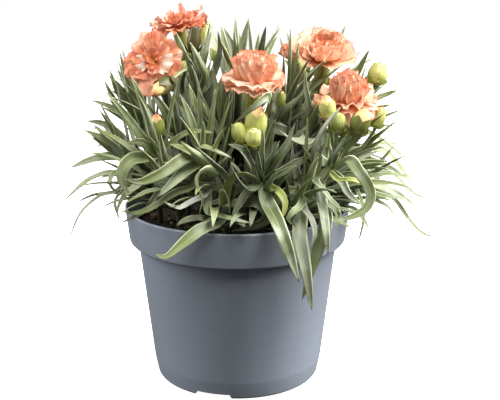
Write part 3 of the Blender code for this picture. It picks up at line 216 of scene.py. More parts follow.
# Leaves placed one by one: (shoot, width, [points from the stem to the tip, as pixel and depth])
PLACED_LEAVES = [
    ("front_left", 0.0070, [
        (216, 176, -0.056), (209, 171, -0.062), (201, 172, -0.067), (197, 180, -0.069), (199, 190, -0.069),
        (203, 200, -0.067), (199, 214, -0.065),
    ]),
    ("low_left", 0.0064, [
        (240, 203, -0.052), (256, 202, -0.056), (266, 210, -0.059), (266, 220, -0.059), (250, 227, -0.057),
        (232, 231, -0.055),
    ]),
    ("low_left", 0.0080, [
        (216, 224, -0.062), (200, 231, -0.068), (183, 244, -0.072), (166, 257, -0.073), (156, 254, -0.071),
    ]),
    ("low_left", 0.0064, [
        (232, 186, -0.056), (225, 173, -0.062), (214, 163, -0.066), (205, 155, -0.067), (195, 146, -0.066),
    ]),
    ("low_left", 0.0048, [(228, 186, -0.060), (233, 177, -0.066), (245, 173, -0.069), (260, 180, -0.070)]),
    ("low_left", 0.0052, [(230, 194, -0.056), (222, 188, -0.061), (210, 185, -0.063), (193, 183, -0.063)]),
    ("low_right", 0.0084, [(300, 218, -0.062), (299, 238, -0.071), (305, 268, -0.073), (312, 310, -0.072)]),
    ("low_right", 0.0056, [(302, 208, -0.062), (311, 220, -0.069), (314, 236, -0.071), (310, 250, -0.071)]),
    ("low_right", 0.0078, [(322, 206, -0.054), (326, 226, -0.068), (316, 256, -0.071), (302, 300, -0.068)]),
    ("low_right", 0.0056, [(314, 196, -0.050), (328, 203, -0.056), (338, 214, -0.062), (336, 228, -0.066)]),
    ("low_right", 0.0052, [(292, 190, -0.052), (281, 196, -0.056), (272, 206, -0.058), (268, 222, -0.060)]),
    ("low_right", 0.0046, [(300, 206, -0.066), (293, 212, -0.072), (288, 220, -0.073), (296, 226, -0.074)]),
    ("front_right", 0.0072, [(319, 190, -0.052), (323, 214, -0.064), (326, 236, -0.069), (328, 255, -0.068)]),
    ("front_right", 0.0066, [
        (335, 168, -0.046), (349, 160, -0.051), (359, 172, -0.058), (370, 190, -0.062), (368, 206, -0.065),
        (354, 216, -0.068), (332, 222, -0.070),
    ]),
    ("front_right", 0.0068, [(313, 178, -0.054), (322, 190, -0.060), (332, 202, -0.064), (346, 213, -0.067)]),
    ("front_right", 0.0056, [(330, 158, -0.054), (338, 148, -0.062), (347, 134, -0.067)]),
    ("front_right", 0.0054, [(340, 180, -0.046), (348, 194, -0.052), (362, 205, -0.055)]),
    ("front_right", 0.0042, [(338, 180, -0.050), (352, 180, -0.053), (380, 188, -0.053)]),
    ("front_right", 0.0056, [(316, 166, -0.052), (309, 156, -0.057), (302, 145, -0.059)]),
    ("front", 0.0084, [(266, 200, -0.056), (277, 222, -0.068), (287, 248, -0.072), (299, 282, -0.071)]),
    ("front", 0.0046, [
        (270, 187, -0.056), (279, 192, -0.062), (285, 202, -0.066), (284, 212, -0.068), (280, 221, -0.069),
    ]),
    ("front", 0.0072, [
        (253, 176, -0.054), (246, 184, -0.056), (232, 196, -0.058), (216, 203, -0.059), (203, 204, -0.058),
    ]),
    ("front", 0.0050, [(282, 172, -0.055), (295, 163, -0.056), (310, 156, -0.056)]),
    ("front", 0.0040, [(276, 178, -0.060), (286, 170, -0.062), (297, 165, -0.062)]),
    ("front", 0.0042, [(268, 164, -0.054), (279, 144, -0.056)]),
    ("front", 0.0044, [(276, 160, -0.058), (288, 142, -0.060), (295, 123, -0.060)]),
    ("front", 0.0046, [(258, 162, -0.056), (262, 145, -0.058), (262, 128, -0.058)]),
    ("front", 0.0048, [(246, 194, -0.058), (238, 206, -0.063), (231, 220, -0.064)]),
    ("front", 0.0050, [(250, 164, -0.052), (243, 150, -0.054), (228, 144, -0.056)]),
    ("front", 0.0044, [(250, 190, -0.064), (238, 180, -0.072), (231, 165, -0.074)]),
    ("front_left", 0.0070, [
        (190, 157, -0.052), (178, 162, -0.058), (164, 172, -0.062), (150, 179, -0.064), (138, 182, -0.064),
        (125, 179, -0.062),
    ]),
    ("front_left", 0.0052, [(196, 156, -0.052), (186, 150, -0.055), (170, 144, -0.056)]),
    ("front_left", 0.0050, [(212, 168, -0.052), (206, 161, -0.058), (194, 153, -0.061), (180, 141, -0.061)]),
    ("front_left", 0.0080, [(201, 152, -0.048), (203, 145, -0.053), (214, 149, -0.058), (232, 158, -0.061)]),
    ("front_left", 0.0066, [(188, 170, -0.054), (176, 180, -0.059), (158, 197, -0.062)]),
    ("front_left", 0.0044, [
        (190, 188, -0.054), (178, 192, -0.060), (164, 200, -0.065), (150, 209, -0.067), (135, 213, -0.067),
        (120, 211, -0.066),
    ]),
    ("front_left", 0.0052, [
        (204, 196, -0.058), (192, 202, -0.064), (180, 208, -0.067), (172, 206, -0.068), (163, 201, -0.068),
    ]),
    ("front_left", 0.0048, [(208, 211, -0.057), (220, 216, -0.062), (236, 220, -0.064), (254, 224, -0.064)]),
    ("left_front", 0.0036, [(174, 141, -0.046), (186, 133, -0.050), (200, 131, -0.052), (214, 133, -0.052)]),
    ("left_front", 0.0080, [
        (142, 158, -0.044), (131, 160, -0.047), (123, 170, -0.050), (122, 182, -0.051), (129, 193, -0.052),
    ]),
    ("left_front", 0.0046, [(160, 189, -0.048), (148, 192, -0.053), (135, 198, -0.057), (123, 205, -0.058)]),
    ("left_front", 0.0036, [(156, 196, -0.050), (146, 210, -0.058), (134, 217, -0.062), (119, 224, -0.063)]),
    ("left_front", 0.0050, [(152, 150, -0.044), (142, 142, -0.048), (128, 142, -0.048)]),
    ("left_front", 0.0040, [(140, 184, -0.046), (126, 194, -0.053), (119, 205, -0.056), (117, 216, -0.056)]),
    ("middle", 0.0070, [(218, 134, -0.036), (211, 120, -0.040), (203, 103, -0.042)]),
    ("middle", 0.0060, [(206, 128, -0.036), (197, 112, -0.039), (189, 84, -0.040)]),
    ("middle", 0.0044, [(222, 120, -0.026), (218, 96, -0.026), (212, 66, -0.026)]),
    ("middle", 0.0042, [(212, 122, -0.030), (205, 110, -0.031), (198, 96, -0.032)]),
    ("middle", 0.0056, [(214, 152, -0.036), (204, 160, -0.042), (196, 172, -0.046), (194, 184, -0.047)]),
    ("middle_left", 0.0054, [(168, 118, -0.028), (160, 104, -0.031), (147, 88, -0.032)]),
    ("middle_left", 0.0054, [(172, 112, -0.024), (167, 98, -0.026), (162, 79, -0.028)]),
    ("middle_left", 0.0042, [(180, 116, -0.014), (182, 104, -0.014), (187, 88, -0.014)]),
    ("left", 0.0056, [(118, 157, -0.014), (104, 157, -0.014), (88, 161, -0.012), (70, 168, -0.010)]),
    ("left", 0.0052, [(120, 174, -0.022), (104, 174, -0.022), (86, 182, -0.020), (62, 202, -0.018)]),
    ("left", 0.0030, [(118, 190, -0.030), (100, 196, -0.030), (80, 214, -0.030), (68, 243, -0.030)]),
    ("left", 0.0062, [(124, 168, -0.030), (114, 174, -0.034), (110, 184, -0.036), (118, 193, -0.037)]),
    ("left", 0.0034, [(124, 190, -0.038), (116, 198, -0.043), (116, 208, -0.045), (121, 223, -0.046)]),
    ("left", 0.0046, [(118, 148, -0.010), (102, 138, -0.008), (84, 130, -0.006)]),
    ("left", 0.0034, [(122, 148, -0.018), (110, 138, -0.018), (94, 127, -0.018)]),
    ("left", 0.0052, [(122, 138, -0.004), (104, 124, -0.002), (86, 121, 0.000)]),
    ("left_rear", 0.0040, [(124, 114, 0.002), (108, 106, 0.002), (91, 100, 0.002)]),
    ("left_rear", 0.0044, [(126, 104, 0.006), (116, 88, 0.008), (110, 70, 0.010)]),
    ("left_rear", 0.0060, [(134, 106, -0.002), (124, 96, -0.004), (112, 91, -0.006)]),
    ("left_rear", 0.0040, [(122, 112, 0.010), (112, 96, 0.012), (104, 80, 0.014)]),
    ("left_rear", 0.0044, [(140, 100, 0.012), (133, 84, 0.016), (123, 70, 0.018)]),
    ("top_left", 0.0050, [(212, 78, 0.002), (220, 52, 0.000), (218, 31, 0.000)]),
    ("top_left", 0.0052, [(200, 92, -0.006), (206, 76, -0.010), (200, 62, -0.012), (190, 42, -0.014)]),
    ("top_left", 0.0050, [(196, 112, -0.010), (190, 96, -0.018), (178, 66, -0.024)]),
    ("top_middle", 0.0048, [(238, 67, 0.001), (243, 42, 0.004), (249, 18, 0.006)]),
    ("top_middle", 0.0056, [(230, 72, -0.004), (225, 48, -0.004), (221, 26, -0.004)]),
    ("top_middle", 0.0050, [(234, 64, 0.008), (232, 46, 0.012), (224, 28, 0.014)]),
    ("top_right", 0.0062, [(296, 108, -0.006), (302, 96, -0.008), (312, 82, -0.008)]),
    ("top_right", 0.0064, [(270, 136, -0.012), (284, 112, -0.020), (308, 91, -0.024)]),
    ("right_middle", 0.0040, [(308, 104, -0.022), (305, 86, -0.022), (305, 69, -0.022)]),
    ("right_middle", 0.0082, [
        (308, 138, -0.036), (303, 143, -0.044), (292, 140, -0.048), (280, 131, -0.048),
    ]),
    ("right", 0.0076, [(370, 162, -0.012), (390, 170, -0.010), (408, 180, -0.008)]),
    ("right", 0.0066, [(368, 147, -0.004), (386, 153, 0.000), (399, 166, 0.002), (411, 182, 0.002)]),
    ("right", 0.0036, [(372, 176, -0.018), (390, 173, -0.018), (412, 192, -0.018), (428, 199, -0.018)]),
    ("right", 0.0036, [(370, 168, -0.020), (384, 158, -0.020), (394, 145, -0.020)]),
    ("low_far_right", 0.0070, [
        (362, 182, -0.022), (384, 188, -0.020), (398, 195, -0.018), (416, 206, -0.016),
    ]),
    ("low_far_right", 0.0034, [
        (375, 187, -0.026), (394, 199, -0.028), (410, 221, -0.030), (424, 234, -0.030), (439, 237, -0.030),
    ]),
    ("low_far_right", 0.0038, [(372, 193, -0.032), (390, 197, -0.034), (408, 198, -0.034)]),
    ("low_far_right", 0.0034, [(375, 200, -0.036), (388, 207, -0.038), (398, 222, -0.040)]),
    ("low_far_right", 0.0028, [(362, 204, -0.046), (363, 222, -0.052), (357, 246, -0.054)]),
    ("right_rear", 0.0036, [(370, 133, 0.012), (388, 145, 0.010), (409, 160, 0.008)]),
    ("right_rear", 0.0050, [(372, 100, 0.020), (386, 95, 0.020), (398, 90, 0.018)]),
    ("right_rear", 0.0040, [(372, 122, 0.016), (388, 115, 0.014), (401, 110, 0.012)]),
    ("right_rear", 0.0056, [(352, 84, 0.026), (360, 66, 0.024), (369, 50, 0.022)]),
    ("rear_right", 0.0040, [(298, 70, 0.050), (284, 52, 0.048), (280, 37, 0.046)]),
    ("rear_right", 0.0042, [(300, 66, 0.058), (291, 48, 0.056), (287, 32, 0.054)]),
    ("rear_middle", 0.0044, [(246, 66, 0.044), (241, 48, 0.042), (239, 32, 0.040)]),
    ("rear_middle", 0.0052, [(258, 66, 0.044), (262, 46, 0.040), (266, 26, 0.036)]),
    ("rear_left", 0.0054, [(200, 72, 0.040), (207, 48, 0.036), (213, 27, 0.034)]),
]


def bezier(a, b, c, d, count):
    """count + 1 points of a cubic Bezier curve."""
    points = []
    for i in range(count + 1):
        t = i / count
        s = 1 - t
        points.append(a * s**3 + b * (3 * s * s * t) + c * (3 * s * t * t) + d * t**3)
    return points


def smooth(points, count):
    """count + 1 points, evenly spaced, of the smooth curve through these."""
    ends = [points[0] * 2 - points[1], *points, points[-1] * 2 - points[-2]]
    fine = []
    for a, b, c, d in zip(ends, ends[1:], ends[2:], ends[3:]):
        for i in range(CURVE_STEPS):
            t = i / CURVE_STEPS
            square = (a * 2 - b * 5 + c * 4 - d) * t**2
            cube = (b * 3 - a - c * 3 + d) * t**3
            fine.append((b * 2 + (c - a) * t + square + cube) * 0.5)
    fine.append(points[-1].copy())
    return evenly(fine, count)


def evenly(points, count):
    """count + 1 points spaced evenly along a line of points."""
    along = [0.0]
    for a, b in zip(points, points[1:]):
        along.append(along[-1] + (b - a).length)
    spaced, i = [], 0
    for k in range(count + 1):
        at = along[-1] * k / count
        while i < len(points) - 2 and along[i + 1] < at:
            i += 1
        span = along[i + 1] - along[i] or 1.0
        spaced.append(points[i].lerp(points[i + 1], (at - along[i]) / span))
    return spaced


def length_of(points):
    return sum((b - a).length for a, b in zip(points, points[1:]))


def nearest(points, place):
    """Index of the point nearest to place."""
    return min(range(len(points)), key=lambda i: (points[i] - place).length)


def direction(points, i):
    """Unit direction of a line of points at its i-th point."""
    return (points[min(i + 1, len(points) - 1)] - points[max(i - 1, 0)]).normalized()


def ease(s):
    """0 to 1, smooth at both ends."""
    return s * s * (3 - 2 * s)


def around(a, b, turn):
    """The unit vector turned from a towards b."""
    return a * math.cos(turn) + b * math.sin(turn)


def blade_width(s):
    """A leaf's width at s, from 0 at the stem to 1 at the tip, as a share of its full width."""
    return (0.62 + 0.38 * math.sin(min(1.0, s / 0.4) * math.pi / 2)) * max(0.0, 1 - s**3) ** 0.8


class Leaf:
    """A blade: its centreline, the way its upper face looks at each point, and its width."""

    def __init__(self, shoot, line, facing, width, twist=0.0):
        self.shoot, self.line, self.width = shoot, line, width
        self.faces = []
        face = facing
        for i in range(len(line)):
            ahead = direction(line, i)
            face = (face - ahead * face.dot(ahead)).normalized()
            turned = Quaternion(ahead, twist * i / (len(line) - 1)) @ face
            self.faces.append(turned)

    def section(self, i, share):
        """Centre, half-width vector and face of the blade at its i-th point."""
        face = self.faces[i]
        side = direction(self.line, i).cross(face)
        return self.line[i], side * (self.width / 2 * share), face

    def samples(self):
        """Points all over the blade: those by the stem, and those further out."""
        by_stem, outer = [], []
        last = len(self.line) - 1
        for i in range(last + 1):
            centre, half, _ = self.section(i, max(0.12, blade_width(i / last)))
            across = max(1, math.ceil(half.length / SAMPLE_STEP))
            found = by_stem if i * SAMPLE_STEP < CLASP else outer
            for k in range(-across, across + 1):
                found.append(centre + half * (k / across))
        return by_stem, outer


class Space:
    """What the plant's parts fill, as marked points, each with the part that owns it."""

    def __init__(self):
        self.cells = {}
        self.balls = []

    def key(self, p):
        return (int(p.x // LEAF_CLEARANCE), int(p.y // LEAF_CLEARANCE), int(p.z // LEAF_CLEARANCE))

    def mark(self, owner, points, reach=0.0):
        for p in points:
            self.cells.setdefault(self.key(p), []).append((owner, p.copy(), LEAF_CLEARANCE + reach))

    def ball(self, centre, radii, axis):
        """An egg-shaped part, such as a bud or a flower, as (centre, radius across, radius along, axis)."""
        self.balls.append((centre, radii[0] + LEAF_CLEARANCE, radii[1] + LEAF_CLEARANCE, axis.normalized()))

    def clear(self, owner, points):
        """True if none of these points comes near another owner's, a flower, the soil or the pot."""
        for p in points:
            r = math.hypot(p.x, p.y)
            if r < POT_INSIDE and p.z < SOIL_CROWN + OVER_SOIL:
                return False
            if POT_INSIDE <= r < RIM_RADIUS + PAST_RIM and p.z < POT_HEIGHT + OVER_RIM:
                return False
            for centre, across, along, axis in self.balls:
                offset = p - centre
                h = offset.dot(axis)
                if (h / along) ** 2 + (offset.length_squared - h * h) / across**2 < 1:
                    return False
            i, j, k = self.key(p)
            for a in (i - 1, i, i + 1):
                for b in (j - 1, j, j + 1):
                    for c in (k - 1, k, k + 1):
                        for other, q, reach in self.cells.get((a, b, c), ()):
                            if other != owner and (p - q).length < reach:
                                return False
        return True

    def takes(self, leaf):
        """True if there is room for this leaf, which then fills it."""
        by_stem, outer = leaf.samples()
        if not self.clear(leaf.shoot, by_stem[4:]) or not self.clear(leaf.shoot, outer):
            return False
        self.mark(leaf.shoot, by_stem)
        self.mark((leaf.shoot, leaf.line[-1].freeze()), outer)
        return True


def stem_line(root, top, arriving, count=STEM_STEPS):
    """A stem's centreline: planted upright, rising from its root on the soil and arriving at top."""
    ground = Vector((root[0], root[1], SOIL_CROWN + GROUND_LIFT))
    neck = top - arriving * NECK
    reach = (neck - ground).length
    bow = reach * STEM_BOW
    curve = bezier(ground, ground + Vector((0, 0, bow)), neck - arriving * bow, neck, count)
    return [ground - Vector((0, 0, PLANTING_DEPTH + GROUND_LIFT)), *curve, top]


def shoot_line(crown, root):
    """A leafy shoot's centreline, which goes on a little past its crown."""
    top = seen(*crown)
    outward = (top - Vector((root[0], root[1], SOIL_CROWN))).normalized()
    return stem_line(root, top + outward * SHOOT_POINT, outward)


def flower_base(flower):
    """(calyx base, corolla base, axis) of a flower."""
    _, centre, facing, _, height, _ = flower
    axis = Vector(facing).normalized()
    corolla_base = seen(*centre) - axis * (height * 0.5)
    return corolla_base - axis * CALYX_LENGTH, corolla_base, axis


def grow():
    """The whole plant: stem lines by name, stalk lines by the stem that carries them, and leaves."""
    space = Space()
    stems, stalks, leaves = {}, {}, []
    for flower in FLOWERS:
        base, corolla_base, axis = flower_base(flower)
        name = "flower_stem_" + flower[0]
        stems[name] = stem_line(flower[5], base - axis * GAP, axis)
        middle = corolla_base + axis * (flower[4] * 0.5)
        space.ball(middle, (flower[3], flower[4] * 0.56), axis)
        space.ball(base + axis * CALYX_LENGTH / 2, (CALYX_RADIUS, CALYX_LENGTH * 0.6), axis)
    for name, crown, root, *_ in SHOOTS:
        stems["shoot_" + name] = shoot_line(crown, root)
    for name, centre, length, diameter, pointing, carrier, height in BUDS:
        axis = Vector(pointing).normalized()
        base = seen(*centre) - axis * (length / 2)
        line = stems[carrier]
        at = max(3, round(height * (len(line) - 1)))
        start = line[at]
        neck = base - axis * NECK
        bow = (neck - start).length * STEM_BOW
        stalk = bezier(start, start + direction(line, at) * bow, neck - axis * bow, neck, 3)
        stalk.append(base - axis * GAP)
        stalks.setdefault(carrier, []).append(stalk)
        space.ball(seen(*centre), (diameter / 2, length / 2 * 1.1), axis)
    for name, line in stems.items():
        space.mark(name, evenly(line, round(length_of(line) / SAMPLE_STEP)), STEM_RADIUS)
    for name, lines in stalks.items():
        for line in lines:
            space.mark(name, evenly(line, max(2, round(length_of(line) / SAMPLE_STEP))), STALK_RADIUS)
    place_leaves(space, stems, leaves)
    fill_leaves(space, stems, leaves)
    return space, stems, stalks, leaves


def place_leaves(space, stems, leaves):
    """The leaves placed one by one. Where two would touch, one moves along the line of sight."""
    for shoot, width, places in PLACED_LEAVES:
        name = "shoot_" + shoot
        stem = stems[name]
        for shift in SHIFTS:
            points = [
                seen(u, v, y + shift * min(1.0, 0.4 + 0.3 * i)) for i, (u, v, y) in enumerate(places)
            ]
            at = min(max(2, nearest(stem, points[0])), len(stem) - 2)
            path = [stem[at], *points]
            line = smooth(path, max(8, round(length_of(path) / SAMPLE_STEP)))
            ahead = direction(line, 0)
            facing = direction(stem, at) * STEMWARD + TOWARDS_VIEWER
            facing = facing - ahead * facing.dot(ahead)
            if facing.length < 0.2:
                facing = Vector((0, 0, 1)) - ahead * ahead.z
            leaf = Leaf(name, line, facing, width)
            if space.takes(leaf):
                leaves.append(leaf)
                break


def within(place):
    """True if a place shows between the plant's two sides."""
    sight = place - EYE
    left, right = [(seen(*a, 0) - EYE).cross(seen(*b, 0) - EYE) for a, b in (LEFT_SIDE, RIGHT_SIDE)]
    return sight.dot(left) < 0 < sight.dot(right)


def fill_leaves(space, stems, leaves):
    """Opposite pairs up every shoot, each pair turned a quarter from the last, as room allows."""
    chance = random.Random(FILL_SEED)
    for name, _, _, pairs, share, turn in SHOOTS:
        owner = "shoot_" + name
        stem = stems[owner]
        for pair in range(pairs):
            age = 1 - pair / max(1, pairs - 1)
            at = round((0.25 + 0.73 * (1 - age)) * (len(stem) - 2))
            for opposite in (0, 180):
                about = math.radians(turn + 90 * pair + opposite)
                fill_leaf(space, leaves, owner, stem, at, age, about, share, chance)
    for flower in FLOWERS:
        owner = "flower_stem_" + flower[0]
        stem = stems[owner]
        for pair, at in enumerate(FLOWER_STEM_JOINTS):
            for opposite in (0, 180):
                about = math.radians(90 * pair + opposite + 30)
                fill_leaf(space, leaves, owner, stem, at, 0.45 - 0.25 * pair, about, 0.7, chance)


def fill_leaf(space, leaves, owner, stem, at, age, about, share, chance):
    """One leaf of a pair, from the stem's point at, if there is room for it."""
    along = direction(stem, at)
    across = along.orthogonal().normalized()
    length = LEAF_LENGTH * share * (1.1 - 0.40 * (1 - age) ** 2) * chance.uniform(0.85, 1.1)
    width = LEAF_WIDTH * chance.uniform(0.8, 1.15) * (1 - 0.2 * (1 - age))
    spread = math.radians(14 + 42 * age)
    droop = (0.25 + 1.1 * age) * chance.uniform(0.7, 1.4)
    sway = chance.uniform(-0.5, 0.5)
    twist = chance.uniform(-0.6, 0.6)
    for attempt in range(ATTEMPTS):
        again, way = divmod(attempt, len(TRIED_TURNS))
        turn = about + TRIED_TURNS[way]
        open_by = spread * (1 - 0.13 * again)
        droop *= 0.97
        size = length * (1 - 0.04 * again)
        outward = Quaternion(along, turn) @ across
        ahead = around(along, outward, open_by).normalized()
        side = along.cross(outward)
        line = [stem[at].copy()]
        steps = max(8, round(size / SAMPLE_STEP))
        for i in range(steps):
            s = i / steps
            pull = Vector((0, 0, -droop * s)) + side * sway * (s - 0.4)
            ahead = (ahead + pull * (1.6 / steps)).normalized()
            line.append(line[-1] + ahead * (size / steps))
        facing = along - direction(line, 0) * along.dot(direction(line, 0))
        leaf = Leaf(owner, line, facing, width, twist)
        if line[-1].xy.length < REACH and within(line[-1]) and space.takes(leaf):
            leaves.append(leaf)
            return


def pot_profile():
    """Down the pot's section: inner floor, inner wall, rim, collar, outer wall, foot."""
    return [
        (0, WALL),
        (PAD_RADIUS - 0.0005, WALL),
        (PAD_RADIUS + 0.0020, FLOOR_TOP),
        (FOOT_RADIUS - WALL - 0.0006, FLOOR_TOP),
        (CREASE_RADIUS - WALL, CREASE_HEIGHT + 0.0006),
        (SHOULDER_RADIUS - WALL, SHOULDER_HEIGHT + WALL),
        (COLLAR_FOOT_RADIUS - WALL, SHOULDER_HEIGHT + WALL + 0.0010),
        (RIM_RADIUS - WALL - 0.0002, POT_HEIGHT - 0.0004),
        (RIM_RADIUS - 0.0009, POT_HEIGHT),
        (RIM_RADIUS, POT_HEIGHT - 0.0006),
        (COLLAR_FOOT_RADIUS, SHOULDER_HEIGHT + 0.0008),
        (COLLAR_FOOT_RADIUS - 0.0007, SHOULDER_HEIGHT),
        (SHOULDER_RADIUS, SHOULDER_HEIGHT - 0.0004),
        (CREASE_RADIUS, CREASE_HEIGHT),
        (FOOT_RADIUS, 0.0008),
        (FOOT_RADIUS - 0.0007, 0),
        (FOOT_RADIUS - 0.0030, 0),
        (FOOT_RADIUS - FOOT_RING, RAISED_FLOOR),
        (PAD_RADIUS + 0.0030, RAISED_FLOOR),
        (PAD_RADIUS + 0.0005, 0),
        (0, 0),
    ]


def soil_side():
    """Down the side of the soil and in along its underside."""
    return [
        (COLLAR_FOOT_RADIUS - WALL - GAP, SHOULDER_HEIGHT + WALL + 0.0010 + 2 * GAP),
        (SHOULDER_RADIUS - WALL - 2 * GAP, SHOULDER_HEIGHT + WALL + 2 * GAP),
        (CREASE_RADIUS - WALL - GAP, CREASE_HEIGHT + 0.0008),
        (FOOT_RADIUS - WALL - 0.0009 - GAP, FLOOR_TOP + GAP),
        (PAD_RADIUS + 0.0018, FLOOR_TOP + GAP),
        (PAD_RADIUS - 0.0008, WALL + GAP),
    ]


# The studio: how strong the white surroundings are as light, the two sheets under the pot, the place that
# the lights are turned to, and the lights as (name, place, size, power, colour)
AMBIENT = 0.19
SHEET_REACH = 1.5
SHEET_DEPTH = 0.0005
CARD_DEPTH = 0.001
CARD_GREY = (0.14, 0.14, 0.145, 1)
PAPER_WHITE = (0.9, 0.9, 0.9, 1)
FULL_WHITE = (1, 1, 1, 1)
LIT_PLACE = (0, 0, 0.11)
LIGHTS = [
    ("key", (0.82, 0.02, 0.74), (0.6, 0.8), 33.0, (1.0, 0.985, 0.965)),
    ("top", (0.20, -0.52, 1.08), (0.5, 0.5), 13.0, (1.0, 0.99, 0.97)),
    ("left", (-0.88, 0.02, 0.46), (0.4, 0.8), 10.0, (1.0, 0.99, 0.98)),
]

# Fine surface: how closely each shape is drawn, and its small details
BLADE_COLUMNS = 7
BLADE_STEP = 2
BLADE_THICKNESS = 0.00055
THINNER_BELOW = 0.003
STEM_SIDES = 10
STALK_SIDES = 8
TUBE_STEP = 0.0012
NODE_SWELL = 0.45
NODE_REACH = 0.0016
PETAL_ROWS = 13
PETAL_COLUMNS = 24
PETAL_FOOT = 0.0004
PETAL_FOOT_SPREAD = 0.0016
PETALS_SUNK = 0.001
TEETH = 5
CALYX_TEETH = 0.0026
CUP_SIDES = 40
BUD_SKIN_ROWS = 9
BUD_HEART_ROWS = 10
BRACTS = 4
BRACT_ROWS = 6
BRACT_COLUMNS = 5
BRACT_CLEARANCE = 0.0004
POT_SIDES = 144
EDGE_ROUNDING = 0.0007
ROUNDING_STEPS = 4
SMOOTH_BELOW = math.radians(42)
SOIL_RINGS = 62
SOIL_SIDES = 150
BARK_CHIPS = 190
CHIP_SIDES = 7
CHIPS_WITHIN = 0.0585

# The soil's relief, as (waves per metre, height), how far its surface and its lip are sunk, and its moss
LUMPS = (90, 0.0012)
CRUMBS = (420, 0.0009)
SUNK = 0.0004
SOIL_LIP = 0.0006
MOSS_PLACE = seen(184, 226, -0.045)
MOSS_RADIUS = 0.016

# Up a calyx: (share of its length, share of its radius)
CALYX_PROFILE = [
    (0.0, 0.32), (0.03, 0.50), (0.12, 0.74), (0.30, 0.88), (0.55, 0.96), (0.72, 1.0), (0.86, 0.99),
    (0.93, 0.97), (0.985, 0.99),
]

# How close the extra leaves may come to the rest, as a share of the usual clearance
CLOSENESS = 0.30

# The heart of the plant, where leaves and stems get painted shade: their colour is darkened there to stand in
# for the shade deep in the foliage
HEART_HEIGHT = 0.105
HEART_RADIUS = 0.030
HEART_FADE = 0.042
HEART_SHAPE = (0.9, 1.1, 0.7)

# How far open each bud is: 0 is shut green, 1 shows its petals well
OPENING = {"5": 0.55, "6": 0.25, "8": 0.6, "10": 0.8, "11": 0.2, "12": 0.55, "13": 0.9, "14": 0.7, "15": 0.45}

# How light each bud's skin is: 0 dark olive, 1 pale yellow-green
LIGHTNESS = {
    "1": 0.0, "2": 1.0, "3": 0.78, "4": 0.84, "5": 0.78, "6": 0.60, "7": 0.74, "8": 0.84,
    "9": 0.58, "10": 0.24, "11": 0.70, "12": 0.52, "13": 0.06, "14": 0.40, "15": 0.60,
}

# Leaves that stand out, by the pixel of their tip: below 1 from deep to fresh green and yellow, above 1
# from grey-white to chalky
STANDOUT_LEAVES = {
    (280, 221): 0.97,
    (260, 180): 0.90,
    (332, 222): 0.45,
    (163, 201): 1.95,
    (280, 131): 1.30,
    (341, 107): 1.35,
    (235, 122): 0.40,
    (380, 188): 0.92,
    (310, 250): 1.50,
    (156, 254): 0.75,
    (302, 300): 0.75,
    (312, 310): 1.25,
}
NEAR_ENOUGH = 6.0

# More leaves, placed one by one: (shoot, width, [points as pixel and depth])
SEEN_LEAVES = [
    ("right_middle", 0.0088, [
        (262, 124, -0.022), (266, 112, -0.034), (269, 101, -0.046), (266, 97, -0.053), (253, 107, -0.058),
        (235, 122, -0.058),
    ]),
    ("front_right", 0.0092, [
        (312, 158, -0.050), (314, 145, -0.054), (321, 130, -0.058), (331, 117, -0.061), (341, 107, -0.062),
    ]),
    ("middle", 0.0070, [(219, 122, -0.022), (218, 104, -0.018), (221, 86, -0.014), (226, 70, -0.012)]),
    ("right_middle", 0.0070, [(277, 128, -0.018), (275, 112, -0.014), (276, 96, -0.010), (280, 80, -0.006)]),
    ("front_right", 0.0064, [(326, 150, -0.036), (324, 138, -0.034), (321, 122, -0.034)]),
    ("low_right", 0.0064, [(299, 184, -0.040), (296, 172, -0.036), (297, 156, -0.034)]),
    ("left_front", 0.0068, [(166, 160, -0.030), (166, 148, -0.024), (163, 132, -0.020)]),
    ("left_front", 0.0068, [(174, 160, -0.028), (176, 150, -0.022), (178, 136, -0.018)]),
    ("left", 0.0060, [(138, 194, -0.018), (131, 189, -0.014), (122, 187, -0.012)]),
]

